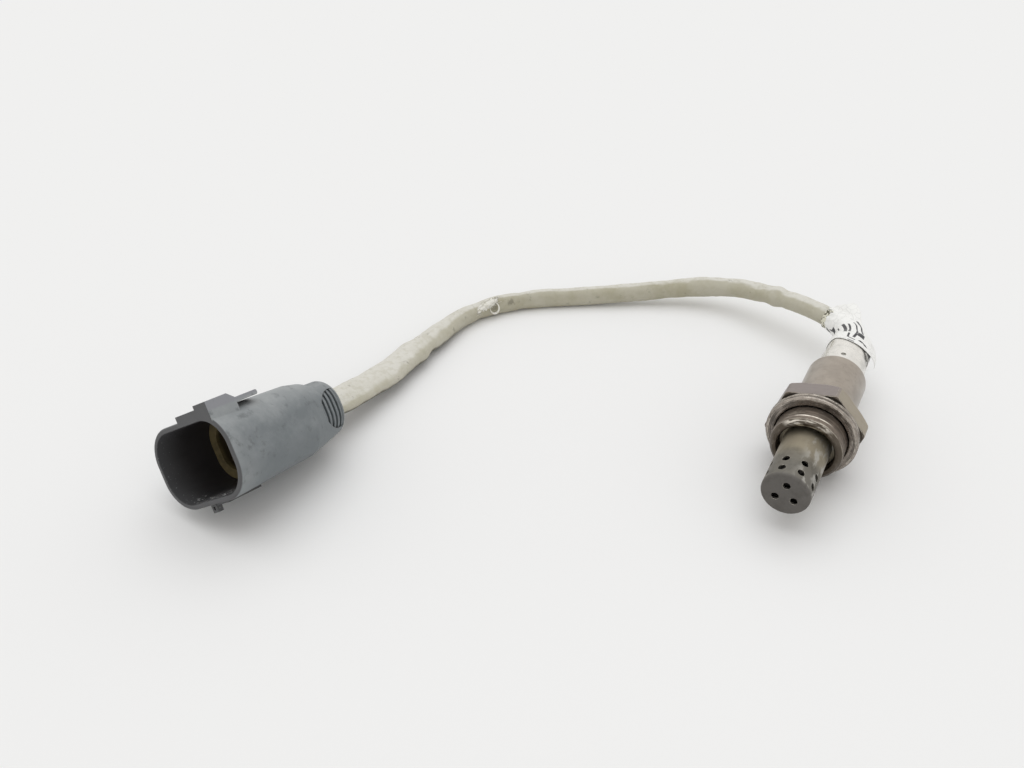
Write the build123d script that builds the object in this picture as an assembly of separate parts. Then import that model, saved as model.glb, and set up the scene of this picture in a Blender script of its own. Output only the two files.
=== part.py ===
import math
import os

from build123d import *

# Sizes are in millimetres and angles in degrees. The sensor lies along Y with its tip towards -Y.
# The origin is on the sensor's axis, in the sealing face of the gasket.

# Threaded shell with its hexagon
THREAD_R = 9.0
THREAD_START_Y = -5.2
RELIEF_R = 8.6
RIM_Y = -6.0
RIM_R = 8.2
RIM_ROUND = 0.45
RECESS_R = 7.1
RECESS_FLOOR_Y = -2.2
SHELL_BORE_R = 4.9
SEAT_Y = 0.6
CAVITY_R = 6.2
HEX_FLATS = 22.0
HEX_ROUND_R = 12.5
HEX_LENGTH = 5.0
HEX_TURN = 18.0
HEX_FRONT_FACE_R = 12.1
HEX_REAR_FACE_R = 11.4
HEX_BEVEL = 30.0
SKIRT_END_Y = 14.5
LIP_R = 5.2

# Gasket, a ring folded from sheet
GASKET_LENGTH = 2.6
GASKET_WIDTH = 2.5
GASKET_BORE_CLEARANCE = 0.1
GASKET_GROOVE = 0.6
GASKET_EDGE = 0.4

# Protection tubes
TIP_Y = -24.0
TUBE_R = 6.0
TUBE_WALL = 0.5
TUBE_CAP = 0.6
TUBE_ROUND = 0.7
FLANGE_R = 7.0
FLANGE_LENGTH = 0.5
SIDE_HOLE_R = 0.95
SIDE_HOLE_COUNT = 8
SIDE_HOLE_TURN = 22.5
SIDE_ROW_OFFSETS = (2.7, 6.3)
TIP_HOLE_COUNT = 3
TIP_HOLE_PITCH_R = 2.6
INNER_TUBE_R = 4.2
INNER_TUBE_WALL = 0.4
INNER_TUBE_GAP = 1.6
INNER_HOLE_R = 0.7
INNER_HOLE_COUNT = 6
INNER_HOLE_Y = -9.0

# Ceramic sensing element, its heater and its packing
WASHER_LENGTH = 0.4
ELEMENT_R = 2.9
ELEMENT_TIP_Y = -19.8
ELEMENT_TIP_BEVEL = 0.8
ELEMENT_COLLAR_R = 6.0
ELEMENT_COLLAR_LENGTH = 3.4
ELEMENT_STEM_R = 3.6
ELEMENT_END_Y = 13.0
ELEMENT_BORE_R = 1.9
ELEMENT_CLOSED_END = 1.4
HEATER_R = 1.7
HEATER_END_Y = 16.0
TALC_END_Y = 8.2
INSULATOR_END_Y = 12.6
CLAMP_RING_LENGTH = 0.8
CLAMP_RING_BORE_R = 4.6

# Cover and rear sleeve
COVER_R = 7.8
COVER_WALL = 0.6
COVER_END_Y = 27.2
COVER_ROUND = 0.9
SLEEVE_R = 6.2
SLEEVE_WALL = 0.5
SLEEVE_START_Y = 18.0
SLEEVE_STEP_Y = 35.0
SLEEVE_REAR_R = 5.8
SLEEVE_END_Y = 42.5
SLEEVE_FIT = 0.05
VENT_R = 0.7
VENT_COUNT = 4
VENT_Y = 31.0

# Contacts, grommet and leads in the rear of the sensor
HOLDER_START_Y = 16.4
HOLDER_END_Y = 26.0
CONTACT_R = 0.75
CONTACT_PITCH_R = 2.9
CONTACT_END_Y = 26.5
LEAD_COUNT = 4
LEAD_R = 0.8
LEAD_PITCH_R = 1.7
LEAD_FIT = 0.05
GROMMET_START_Y = 28.0
GROMMET_NECK_R = 4.9
GROMMET_NECK_END_Y = 33.0
GROMMET_END_Y = 43.1
FILTER_START_Y = 29.0

# Cable and how the lying sensor is set above the bench
CABLE_R = 2.75
BENCH_Z = -12.0
ROUTE = (
    (0.0, GROMMET_END_Y, 0.0),
    (0.0, 53.2, 0.0),
    (-21.2, 63.1, -0.4),
    (-45.5, 70.0, -5.2),
    (-74.0, 55.5, -8.9),
    (-110.0, 33.5, BENCH_Z + CABLE_R),
    (-114.7, 2.0, -8.8),
)
ARC_SHARE = 0.45
LAST_RUN = 20.0

# Label wrapped round the sleeve's end and the start of the cable
LABEL_THICKNESS = 0.3
LABEL_SIDES = 12
# Distance of each ring from the cable's start, negative on the sleeve, and its radius
LABEL_RINGS = (
    (-4.6, 6.3),
    (0.8, 6.2),
    (6.0, 4.9),
    (11.0, 4.2),
    (18.0, 3.6),
)

# Connector, lying on the bench with its mouth raised and its body rolled
CONNECTOR_PLACE = (-125.0, -82.3, 6.0)
CONNECTOR_YAW = 8.9
CONNECTOR_PITCH = 12.4
CONNECTOR_ROLL = 35.0
HOUSING_LENGTH = 40.5
MOUTH_WIDTH = 30.6
MOUTH_HEIGHT = 21.0
MOUTH_CORNER = 8.4
SHOULDER_AT = 27.0
SHOULDER_WIDTH = 27.4
SHOULDER_HEIGHT = 19.0
SHOULDER_CORNER = 8.0
REAR_WIDTH = 20.6
REAR_HEIGHT = 14.4
REAR_CORNER = 6.6
REAR_ROUND = 2.0
MOUTH_ROUND = 0.6
LIP_WALL = 1.3
SOCKET_DEPTH = 15.0
CARRIER_LENGTH = 9.0
CARRIER_END_WIDTH = 24.4
CARRIER_END_HEIGHT = 16.0
CARRIER_END_CORNER = 6.6
CARRIER_FIT = 0.1
CARRIER_RIM = 1.9
CARRIER_RECESS = 3.0
CHAMBER_WIDTH = 15.0
CHAMBER_HEIGHT = 10.0
CHAMBER_CORNER = 4.0
CHAMBER_STEP = 1.0
SEAL_R = 4.6
SEAL_LENGTH = 6.5
DIP_R = 5.0
DIP_FROM_REAR = 5.0
DIP_DEPTH = 1.9
GRIP_FROM_REAR = 1.6
GRIP_REACH = 6.4
GRIP_PAST_MIDDLE = 1.5
GRIP_DEPTH = 0.8
GRIP_SPAN = 10.2
GRIP_DROP = 0.6
RIB_GROOVES = 4
RIB_FROM_REAR = 7.9
RIB_PITCH = 1.6
RIB_GROOVE_WIDTH = 0.8
RIB_GROOVE_DEPTH = 1.5

# Latch rail on the top of the housing and keeper below it
RAIL_ROOT = 9.7
RAIL_LOW = (-7.4, 0.6, 11.9, 8.0)
RAIL_SIDES = (-12.2, -7.4)
RAIL_TOP = 12.9
RAIL_LENGTH = 6.4
RAIL_RAMP = 2.0
LATCH_ROOT = 7.2
LATCH_TOP = 11.3
LATCH_END = 14.9
LATCH_ROUND = 0.5
LATCH_ARM = 1.2
KEEPER_RAIL = (-5.0, 2.0, 10.9, 1.0, 11.0)
KEEPER_TAB = (0.2, 2.2, 12.5, 0.8, 2.4)
KEEPER_HOLE_R = 0.5
KEEPER_HOLE_DROP = 1.1

# How far cutting tools run past the material they cut
OVERRUN = 1.0

# Terminals
PIN_WIDTH = 2.3
PIN_THICKNESS = 0.8
PIN_START = 13.5
PIN_TAIL = 3.0
PIN_X = 4.0
PIN_Y = 3.0
PIN_FIT = 0.05
LEAD_END_SPREAD = 1.2

HEX_FRONT_Y = GASKET_LENGTH
HEX_REAR_Y = HEX_FRONT_Y + HEX_LENGTH
COLLAR_Y = SEAT_Y + WASHER_LENGTH
COLLAR_END_Y = COLLAR_Y + ELEMENT_COLLAR_LENGTH
GASKET_BORE_R = THREAD_R + GASKET_BORE_CLEARANCE
GASKET_R = GASKET_BORE_R + GASKET_WIDTH
SKIRT_R = COVER_R - COVER_WALL
HEX_BORE_R = (SKIRT_R + CAVITY_R) / 2
SLEEVE_BORE_R = SLEEVE_R - SLEEVE_WALL
SLEEVE_REAR_BORE_R = SLEEVE_REAR_R - SLEEVE_WALL
SLEEVE_NECK_Y = SLEEVE_STEP_Y + SLEEVE_R - SLEEVE_REAR_R
INNER_FLANGE_Y = RECESS_FLOOR_Y - FLANGE_LENGTH
OUTER_FLANGE_Y = INNER_FLANGE_Y - FLANGE_LENGTH
CARRIER_END = SOCKET_DEPTH + CARRIER_LENGTH
PIN_END = CARRIER_END + PIN_TAIL
SEAL_END = HOUSING_LENGTH
SEAL_START = SEAL_END - SEAL_LENGTH
CHAMBER_END = SEAL_START - CHAMBER_STEP
DIP_AT = HOUSING_LENGTH - DIP_FROM_REAR
GRIP_END = HOUSING_LENGTH - GRIP_FROM_REAR
GRIP_MIDDLE = GRIP_END - GRIP_PAST_MIDDLE
GRIP_START = GRIP_MIDDLE - GRIP_REACH
RIB_FIRST = HOUSING_LENGTH - RIB_FROM_REAR


def outline(*points):
    """Face inside a closed run of (radius, station) points."""
    return make_face(Polyline(*points, close=True))


def turned(*points):
    """Solid turned about the sensor's axis from (radius, station) points."""
    return revolve(outline(*points), axis=Axis.Y)


def rounded(face, corners, radius):
    """The face with the named (radius, station) corners rounded."""
    chosen = [v for v in face.vertices() if any((v.center() - Vector(*c)).length < 1e-6 for c in corners)]
    return fillet(chosen, radius)


def rod(radius, start, end, x=0.0, z=0.0):
    """Round bar along the sensor's axis between two stations."""
    bar = Cylinder(radius, end - start, align=(Align.CENTER, Align.CENTER, Align.MIN))
    return Pos(x, start, z) * Rot(-90, 0, 0) * bar


def radial_cutters(radius, count, turn, station, reach):
    """Drills that stand out from the axis, evenly spaced round it."""
    drill = Cylinder(radius, reach, align=(Align.CENTER, Align.CENTER, Align.MIN))
    return [Pos(0, station, 0) * Rot(0, turn + k * 360 / count, 0) * drill for k in range(count)]


def round_the_axis(count, pitch_r, turn=0.0):
    """Places (x, z) evenly spaced on a circle round the axis, from the top."""
    angles = [math.radians(turn + k * 360 / count) for k in range(count)]
    return [(pitch_r * math.sin(a), pitch_r * math.cos(a)) for a in angles]


def shell_body():
    stock = rounded(
        outline(
            (RECESS_R, RIM_Y), (RIM_R, RIM_Y), (THREAD_R, THREAD_START_Y), (THREAD_R, 0),
            (RELIEF_R, 0), (RELIEF_R, HEX_REAR_Y - HEX_LENGTH / 2), (SKIRT_R, HEX_REAR_Y - HEX_LENGTH / 2),
            (SKIRT_R, SKIRT_END_Y), (LIP_R, SKIRT_END_Y),
            (LIP_R, INSULATOR_END_Y + CLAMP_RING_LENGTH), (CAVITY_R, INSULATOR_END_Y + CLAMP_RING_LENGTH),
            (CAVITY_R, SEAT_Y), (SHELL_BORE_R, SEAT_Y),
            (SHELL_BORE_R, RECESS_FLOOR_Y), (RECESS_R, RECESS_FLOOR_Y),
        ),
        [(RECESS_R, RIM_Y), (RIM_R, RIM_Y)],
        RIM_ROUND,
    )
    slope = math.tan(math.radians(HEX_BEVEL))
    bevelled = turned(
        (HEX_BORE_R, HEX_FRONT_Y), (HEX_FRONT_FACE_R, HEX_FRONT_Y),
        (HEX_ROUND_R, HEX_FRONT_Y + slope * (HEX_ROUND_R - HEX_FRONT_FACE_R)),
        (HEX_ROUND_R, HEX_REAR_Y - slope * (HEX_ROUND_R - HEX_REAR_FACE_R)),
        (HEX_REAR_FACE_R, HEX_REAR_Y), (HEX_BORE_R, HEX_REAR_Y),
    )
    flats = extrude(RegularPolygon(HEX_FLATS / 2, 6, major_radius=False, rotation=HEX_TURN - 90), HEX_LENGTH)
    hexagon = bevelled & (Pos(0, HEX_FRONT_Y, 0) * Rot(-90, 0, 0) * flats)
    return revolve(stock, axis=Axis.Y) + hexagon


def gasket_ring():
    middle = GASKET_LENGTH / 2
    return turned(
        (GASKET_BORE_R, GASKET_EDGE), (GASKET_BORE_R + GASKET_EDGE, 0),
        (GASKET_R - GASKET_EDGE, 0), (GASKET_R, GASKET_EDGE),
        (GASKET_R, middle - GASKET_EDGE), (GASKET_R - GASKET_GROOVE, middle),
        (GASKET_R, middle + GASKET_EDGE), (GASKET_R, GASKET_LENGTH - GASKET_EDGE),
        (GASKET_R - GASKET_EDGE, GASKET_LENGTH), (GASKET_BORE_R, GASKET_LENGTH),
    )


def outer_protection_tube():
    bore = TUBE_R - TUBE_WALL
    cup = rounded(
        outline(
            (0, TIP_Y), (TUBE_R, TIP_Y), (TUBE_R, OUTER_FLANGE_Y), (FLANGE_R, OUTER_FLANGE_Y),
            (FLANGE_R, INNER_FLANGE_Y), (bore, INNER_FLANGE_Y),
            (bore, TIP_Y + TUBE_CAP), (0, TIP_Y + TUBE_CAP),
        ),
        [(TUBE_R, TIP_Y)],
        TUBE_ROUND,
    )
    tube = revolve(cup, axis=Axis.Y)
    for offset in SIDE_ROW_OFFSETS:
        row = TIP_Y + offset
        tube -= radial_cutters(SIDE_HOLE_R, SIDE_HOLE_COUNT, SIDE_HOLE_TURN, row, TUBE_R + OVERRUN)
    for x, z in round_the_axis(TIP_HOLE_COUNT, TIP_HOLE_PITCH_R):
        tube -= rod(SIDE_HOLE_R, TIP_Y - OVERRUN, TIP_Y + TUBE_CAP + OVERRUN, x, z)
    return tube


def inner_protection_tube():
    bore = INNER_TUBE_R - INNER_TUBE_WALL
    tip = TIP_Y + TUBE_CAP + INNER_TUBE_GAP
    tube = turned(
        (0, tip), (INNER_TUBE_R, tip), (INNER_TUBE_R, INNER_FLANGE_Y), (FLANGE_R, INNER_FLANGE_Y),
        (FLANGE_R, RECESS_FLOOR_Y), (bore, RECESS_FLOOR_Y),
        (bore, tip + INNER_TUBE_WALL), (0, tip + INNER_TUBE_WALL),
    )
    tube -= radial_cutters(INNER_HOLE_R, INNER_HOLE_COUNT, 0, INNER_HOLE_Y, INNER_TUBE_R + OVERRUN)
    return tube - rod(INNER_HOLE_R, tip - OVERRUN, tip + INNER_TUBE_WALL + OVERRUN)


def seat_washer():
    return turned(
        (SHELL_BORE_R, SEAT_Y), (ELEMENT_COLLAR_R, SEAT_Y),
        (ELEMENT_COLLAR_R, COLLAR_Y), (SHELL_BORE_R, COLLAR_Y),
    )


def sensing_element():
    return turned(
        (0, ELEMENT_TIP_Y), (ELEMENT_R - ELEMENT_TIP_BEVEL, ELEMENT_TIP_Y),
        (ELEMENT_R, ELEMENT_TIP_Y + ELEMENT_TIP_BEVEL), (ELEMENT_R, COLLAR_Y),
        (ELEMENT_COLLAR_R, COLLAR_Y), (ELEMENT_COLLAR_R, COLLAR_END_Y), (ELEMENT_STEM_R, COLLAR_END_Y),
        (ELEMENT_STEM_R, ELEMENT_END_Y), (ELEMENT_BORE_R, ELEMENT_END_Y),
        (ELEMENT_BORE_R, ELEMENT_TIP_Y + ELEMENT_CLOSED_END), (0, ELEMENT_TIP_Y + ELEMENT_CLOSED_END),
    )


def heater_rod():
    return rod(HEATER_R, ELEMENT_TIP_Y + ELEMENT_CLOSED_END, HEATER_END_Y)


def packing_ring(bore_r, start, end):
    return turned((bore_r, start), (CAVITY_R, start), (CAVITY_R, end), (bore_r, end))


def upper_cover():
    walls = rounded(
        outline(
            (SKIRT_R, HEX_REAR_Y), (COVER_R, HEX_REAR_Y), (COVER_R, COVER_END_Y), (SLEEVE_R, COVER_END_Y),
            (SLEEVE_R, COVER_END_Y - COVER_WALL), (SKIRT_R, COVER_END_Y - COVER_WALL),
        ),
        [(COVER_R, COVER_END_Y)],
        COVER_ROUND * COVER_WALL,
    )
    return revolve(walls, axis=Axis.Y)


def rear_sleeve():
    sleeve = turned(
        (SLEEVE_BORE_R, SLEEVE_START_Y), (SKIRT_R, SLEEVE_START_Y), (SKIRT_R, SLEEVE_START_Y + SLEEVE_WALL),
        (SLEEVE_R, SLEEVE_START_Y + SLEEVE_WALL), (SLEEVE_R, SLEEVE_STEP_Y), (SLEEVE_REAR_R, SLEEVE_NECK_Y),
        (SLEEVE_REAR_R, SLEEVE_END_Y), (SLEEVE_REAR_BORE_R, SLEEVE_END_Y),
        (SLEEVE_REAR_BORE_R, SLEEVE_NECK_Y), (SLEEVE_BORE_R, SLEEVE_STEP_Y),
    )
    return sleeve - radial_cutters(VENT_R, VENT_COUNT, 0, VENT_Y, SLEEVE_R + OVERRUN)


def vent_filter():
    return turned(
        (GROMMET_NECK_R, FILTER_START_Y), (SLEEVE_BORE_R, FILTER_START_Y),
        (SLEEVE_BORE_R, GROMMET_NECK_END_Y), (GROMMET_NECK_R, GROMMET_NECK_END_Y),
    )


def contact_holder():
    holder = rod(SLEEVE_BORE_R - SLEEVE_FIT, HOLDER_START_Y, HOLDER_END_Y)
    for x, z in round_the_axis(LEAD_COUNT, CONTACT_PITCH_R):
        holder -= rod(CONTACT_R, HOLDER_START_Y, HOLDER_END_Y, x, z)
    return holder


def rubber_grommet():
    plug = turned(
        (0, GROMMET_START_Y), (GROMMET_NECK_R, GROMMET_START_Y), (GROMMET_NECK_R, GROMMET_NECK_END_Y),
        (SLEEVE_BORE_R, GROMMET_NECK_END_Y), (SLEEVE_BORE_R, SLEEVE_STEP_Y),
        (SLEEVE_REAR_BORE_R, SLEEVE_NECK_Y), (SLEEVE_REAR_BORE_R, GROMMET_END_Y), (0, GROMMET_END_Y),
    )
    for x, z in round_the_axis(LEAD_COUNT, LEAD_PITCH_R):
        plug -= rod(LEAD_R + LEAD_FIT, GROMMET_START_Y, GROMMET_END_Y, x, z)
    return plug


def bars_round_the_axis(radius, pitch_r, start, end):
    """Like bars side by side round the axis, one for each lead."""
    return Compound([rod(radius, start, end, x, z) for x, z in round_the_axis(LEAD_COUNT, pitch_r)])


def connector_frame():
    """Plane with its origin in the mouth, Z towards the cable and Y towards the latch rail."""
    yaw, pitch, roll = (math.radians(a) for a in (CONNECTOR_YAW, CONNECTOR_PITCH, CONNECTOR_ROLL))
    axis = Vector(math.cos(pitch) * math.sin(yaw), math.cos(pitch) * math.cos(yaw), -math.sin(pitch))
    side = Vector(math.cos(yaw), -math.sin(yaw), 0)
    top = side.cross(axis)
    across = side * math.cos(roll) + top * math.sin(roll)
    return Plane(origin=CONNECTOR_PLACE, x_dir=across * -1, z_dir=axis)


def section(at, width, height, corner):
    """Rounded rectangle across the connector at a distance from its mouth."""
    return Pos(0, 0, at) * RectangleRounded(width, height, corner)


def block(left, right, low, high, front, back):
    """Box in the connector's frame between its six limits."""
    box = Box(right - left, high - low, back - front)
    return Pos((left + right) / 2, (low + high) / 2, (front + back) / 2) * box


def socket_space(fit=0.0):
    """Mouth and carrier seat of the housing, or the carrier's own outside when it is reduced by a fit."""
    wall = LIP_WALL + fit
    mouth = section(0, MOUTH_WIDTH - 2 * wall, MOUTH_HEIGHT - 2 * wall, MOUTH_CORNER - wall)
    end_width = CARRIER_END_WIDTH - 2 * fit
    end_height = CARRIER_END_HEIGHT - 2 * fit
    return loft([mouth, section(CARRIER_END, end_width, end_height, CARRIER_END_CORNER - fit)], ruled=True)


def latch_rail():
    left, right, top, back = RAIL_LOW
    low = block(left, right, RAIL_ROOT, top, 0, back)
    arm_start = RAIL_LENGTH + RAIL_RAMP
    arm_low = LATCH_TOP - LATCH_ARM
    side = outline(
        (LATCH_ROOT, 0), (RAIL_TOP, 0), (RAIL_TOP, RAIL_LENGTH), (LATCH_TOP, arm_start),
        (LATCH_TOP, LATCH_END), (arm_low, LATCH_END), (arm_low, arm_start), (LATCH_ROOT, arm_start),
    )
    side = rounded(side, [(LATCH_TOP, LATCH_END), (arm_low, LATCH_END)], LATCH_ROUND)
    left, right = RAIL_SIDES
    return low + extrude(Plane.YZ.offset(left) * side, right - left)


def keeper():
    left, right, drop, front, back = KEEPER_RAIL
    rail = block(left, right, -drop, -RAIL_ROOT, front, back)
    left, right, drop, front, back = KEEPER_TAB
    tab = block(left, right, -drop, -RAIL_ROOT, front, back)
    hole = Pos((left + right) / 2, KEEPER_HOLE_DROP - drop, 0) * Cylinder(KEEPER_HOLE_R, 2 * (back + OVERRUN))
    return rail + tab - hole


def body_section(at, inset):
    """Section of the tapering rear of the housing at a distance from the mouth, drawn in by an inset."""
    along = (at - SHOULDER_AT) / (HOUSING_LENGTH - SHOULDER_AT)
    width = SHOULDER_WIDTH + (REAR_WIDTH - SHOULDER_WIDTH) * along
    height = SHOULDER_HEIGHT + (REAR_HEIGHT - SHOULDER_HEIGHT) * along
    corner = SHOULDER_CORNER + (REAR_CORNER - SHOULDER_CORNER) * along
    return section(at, width - 2 * inset, height - 2 * inset, corner - inset)


def slab(front, back):
    """Everything across the housing between two distances from its mouth."""
    return block(-MOUTH_WIDTH, MOUTH_WIDTH, -MOUTH_HEIGHT, MOUTH_HEIGHT, front, back)


def finger_grips():
    """Cuts on both flanks: an oval recess that runs out to the rear, with grooves that follow the section."""
    oval = extrude(Ellipse(GRIP_MIDDLE - GRIP_START, GRIP_SPAN / 2), MOUTH_WIDTH, both=True)
    oval = Pos(0, -GRIP_DROP, GRIP_MIDDLE) * Rot(0, 90, 0) * oval
    recess_floor = loft([body_section(GRIP_START, GRIP_DEPTH), body_section(HOUSING_LENGTH, 0)], ruled=True)
    ends = (GRIP_START, HOUSING_LENGTH)
    groove_floor = loft([body_section(at, RIB_GROOVE_DEPTH) for at in ends], ruled=True)
    cuts = [oval & slab(GRIP_START, GRIP_END) - recess_floor]
    for k in range(RIB_GROOVES):
        front = RIB_FIRST + k * RIB_PITCH
        cuts.append(oval & slab(front, front + RIB_GROOVE_WIDTH) - groove_floor)
    return cuts


def connector_housing():
    mouth = section(0, MOUTH_WIDTH, MOUTH_HEIGHT, MOUTH_CORNER)
    shoulder = body_section(SHOULDER_AT, 0)
    body = loft([mouth, shoulder], ruled=True) + loft([shoulder, body_section(HOUSING_LENGTH, 0)], ruled=True)
    body = fillet(body.edges().group_by(Axis.Z)[-1], REAR_ROUND)
    body = fillet(body.edges().group_by(Axis.Z)[0], MOUTH_ROUND)
    crest = body_section(DIP_AT, 0).bounding_box().max.Y
    body -= Pos(0, crest + DIP_R - DIP_DEPTH, DIP_AT) * Rot(0, 90, 0) * Cylinder(DIP_R, SHOULDER_WIDTH)
    for cut in finger_grips():
        body -= cut
    body += latch_rail()
    body += keeper()
    body -= socket_space()
    chamber = RectangleRounded(CHAMBER_WIDTH, CHAMBER_HEIGHT, CHAMBER_CORNER)
    body -= Pos(0, 0, CARRIER_END) * extrude(chamber, CHAMBER_END - CARRIER_END)
    seal_bore = Cylinder(SEAL_R, HOUSING_LENGTH, align=(Align.CENTER, Align.CENTER, Align.MIN))
    return body - Pos(0, 0, CHAMBER_END) * seal_bore


def pin_places():
    return [(x, y) for x in (-PIN_X, PIN_X) for y in (-PIN_Y, PIN_Y)]


def terminal_carrier():
    carrier = socket_space(CARRIER_FIT) & slab(SOCKET_DEPTH, CARRIER_END)
    recess_width = CARRIER_END_WIDTH - 2 * CARRIER_RIM
    recess_height = CARRIER_END_HEIGHT - 2 * CARRIER_RIM
    recess = RectangleRounded(recess_width, recess_height, CARRIER_END_CORNER - CARRIER_RIM)
    carrier -= Pos(0, 0, SOCKET_DEPTH) * extrude(recess, CARRIER_RECESS)
    for x, y in pin_places():
        slot = Rectangle(PIN_WIDTH + 2 * PIN_FIT, PIN_THICKNESS + 2 * PIN_FIT)
        carrier -= Pos(x, y, SOCKET_DEPTH) * extrude(slot, CARRIER_LENGTH + OVERRUN)
    return carrier


def terminal_pins():
    blade = extrude(Rectangle(PIN_WIDTH, PIN_THICKNESS), PIN_END - PIN_START)
    blade = chamfer(blade.faces().sort_by(Axis.Z)[0].edges(), PIN_THICKNESS / 4)
    return Compound([Pos(x, y, PIN_START) * blade for x, y in pin_places()])


def slanted_leads(radius):
    """Leads that run from the pins towards the middle of the seal."""
    between = slab(PIN_END, SEAL_END)
    leads = []
    for x, y in pin_places():
        start = Vector(x, y, PIN_END)
        end = Vector(math.copysign(LEAD_END_SPREAD, x), math.copysign(LEAD_END_SPREAD, y), SEAL_END)
        way = (end - start).normalized()
        circle = Plane(origin=start - way * OVERRUN, z_dir=way) * Circle(radius)
        leads.append(extrude(circle, (end - start).length + 2 * OVERRUN) & between)
    return leads


def rear_seal():
    plug = Cylinder(SEAL_R, SEAL_END - SEAL_START, align=(Align.CENTER, Align.CENTER, Align.MIN))
    seal = Pos(0, 0, SEAL_START) * plug
    for lead in slanted_leads(LEAD_R + LEAD_FIT):
        seal -= lead
    return seal


def cable_route(frame):
    """The cable's points, ending on the connector's axis at the rear of its seal."""
    exit_point = frame.origin + frame.z_dir * SEAL_END
    return [Vector(*p) for p in ROUTE] + [exit_point + frame.z_dir * LAST_RUN, exit_point]


def cable_path(frame):
    """The cable's middle line: straight runs joined by arcs that share the runs between them."""
    points = cable_route(frame)
    radii = []
    for before, here, after in zip(points, points[1:], points[2:]):
        turn = math.radians((here - before).get_angle(after - here))
        shorter = min((here - before).length, (after - here).length)
        radii.append(ARC_SHARE * shorter / math.tan(turn / 2))
    return FilletPolyline(*points, radius=radii)


def cable_sleeve(path):
    cable = sweep(Plane(origin=path @ 0, z_dir=path % 0) * Circle(CABLE_R), path=path)
    print(f"cable length {path.length:.1f}, volume {cable.volume:.1f}")
    print(f"volume by section and length {math.pi * CABLE_R**2 * path.length:.1f}")
    return cable


def identification_label(path):
    outer = []
    inner = []
    for distance, radius in LABEL_RINGS:
        along = max(distance, 0) / path.length
        behind = Vector(0, min(distance, 0), 0)
        plane = Plane(origin=path @ along + behind, x_dir=(0, 0, 1), z_dir=path % along)
        outer.append(plane * RegularPolygon(radius, LABEL_SIDES, major_radius=False))
        inner.append(plane * RegularPolygon(radius - LABEL_THICKNESS, LABEL_SIDES, major_radius=False))
    return loft(outer, ruled=True) - loft(inner, ruled=True)


def main():
    os.makedirs("parts", exist_ok=True)
    frame = connector_frame()
    place = Location(frame)
    path = cable_path(frame)
    pieces = {
        "shell_body": shell_body(),
        "gasket_ring": gasket_ring(),
        "outer_protection_tube": outer_protection_tube(),
        "inner_protection_tube": inner_protection_tube(),
        "seat_washer": seat_washer(),
        "sensing_element": sensing_element(),
        "heater_rod": heater_rod(),
        "talc_packing": packing_ring(ELEMENT_STEM_R, COLLAR_END_Y, TALC_END_Y),
        "ceramic_insulator": packing_ring(ELEMENT_STEM_R, TALC_END_Y, INSULATOR_END_Y),
        "clamp_ring": packing_ring(CLAMP_RING_BORE_R, INSULATOR_END_Y, INSULATOR_END_Y + CLAMP_RING_LENGTH),
        "upper_cover": upper_cover(),
        "rear_sleeve": rear_sleeve(),
        "vent_filter": vent_filter(),
        "contact_holder": contact_holder(),
        "contact_springs": bars_round_the_axis(CONTACT_R, CONTACT_PITCH_R, ELEMENT_END_Y, CONTACT_END_Y),
        "rubber_grommet": rubber_grommet(),
        "sensor_leads": bars_round_the_axis(LEAD_R, LEAD_PITCH_R, CONTACT_END_Y, GROMMET_END_Y),
        "identification_label": identification_label(path),
        "cable_sleeve": cable_sleeve(path),
        "connector_housing": place * connector_housing(),
        "terminal_carrier": place * terminal_carrier(),
        "terminal_pins": place * terminal_pins(),
        "rear_seal": place * rear_seal(),
        "connector_leads": place * Compound(slanted_leads(LEAD_R)),
    }
    for node, shape in pieces.items():
        export_step(shape, f"parts/{node}.step")


main()
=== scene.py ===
"""Dresses a used exhaust oxygen sensor: worn metal, woven cable, creased label, connector, pale bench."""

import bisect
import math
import random

import bmesh
import bpy
from bpy.props import FloatProperty, FloatVectorProperty, IntProperty, PointerProperty
from mathutils import Matrix, Vector, noise


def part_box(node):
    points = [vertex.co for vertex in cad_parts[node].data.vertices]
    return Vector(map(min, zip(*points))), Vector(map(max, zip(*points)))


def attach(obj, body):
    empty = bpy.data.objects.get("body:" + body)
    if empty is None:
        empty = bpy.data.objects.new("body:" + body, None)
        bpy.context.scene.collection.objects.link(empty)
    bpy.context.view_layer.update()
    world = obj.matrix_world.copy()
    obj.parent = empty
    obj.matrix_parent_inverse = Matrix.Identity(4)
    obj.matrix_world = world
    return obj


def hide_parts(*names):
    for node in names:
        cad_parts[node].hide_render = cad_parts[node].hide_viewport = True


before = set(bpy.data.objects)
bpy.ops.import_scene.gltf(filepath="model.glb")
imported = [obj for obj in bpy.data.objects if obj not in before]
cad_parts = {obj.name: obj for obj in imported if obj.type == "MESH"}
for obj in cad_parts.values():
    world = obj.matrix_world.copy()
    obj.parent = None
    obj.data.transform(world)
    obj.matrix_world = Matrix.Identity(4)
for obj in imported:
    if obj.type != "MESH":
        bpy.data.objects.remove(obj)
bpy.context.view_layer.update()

bl_info = {
    "name": "Oxygen sensor dressing",
    "version": (1, 0, 0),
    "blender": (4, 5, 0),
    "location": "View3D > Sidebar > Sensor",
    "description": "Finishes, cable, label, thread and stage for a used exhaust oxygen sensor",
    "category": "Object",
}

MM = 0.001
ROOT = "root"
UP = Vector((0.0, 0.0, 1.0))

# Bench, lamp and camera
BENCH_Z = -12.0 * MM
BENCH_SIDE = 6.0
BENCH_ROUGHNESS = 0.9
LAMP_WAY = Vector((0.10, -0.18, -0.98))
CAMERA_PLACE = Vector((29.19, -225.19, 172.85)) * MM
CAMERA_FORWARD = Vector((-0.3617, 0.7223, -0.5894))
CAMERA_LENS = 38.67
CAMERA_SENSOR = 36.0
CAMERA_NEAR = 10.0 * MM

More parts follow.
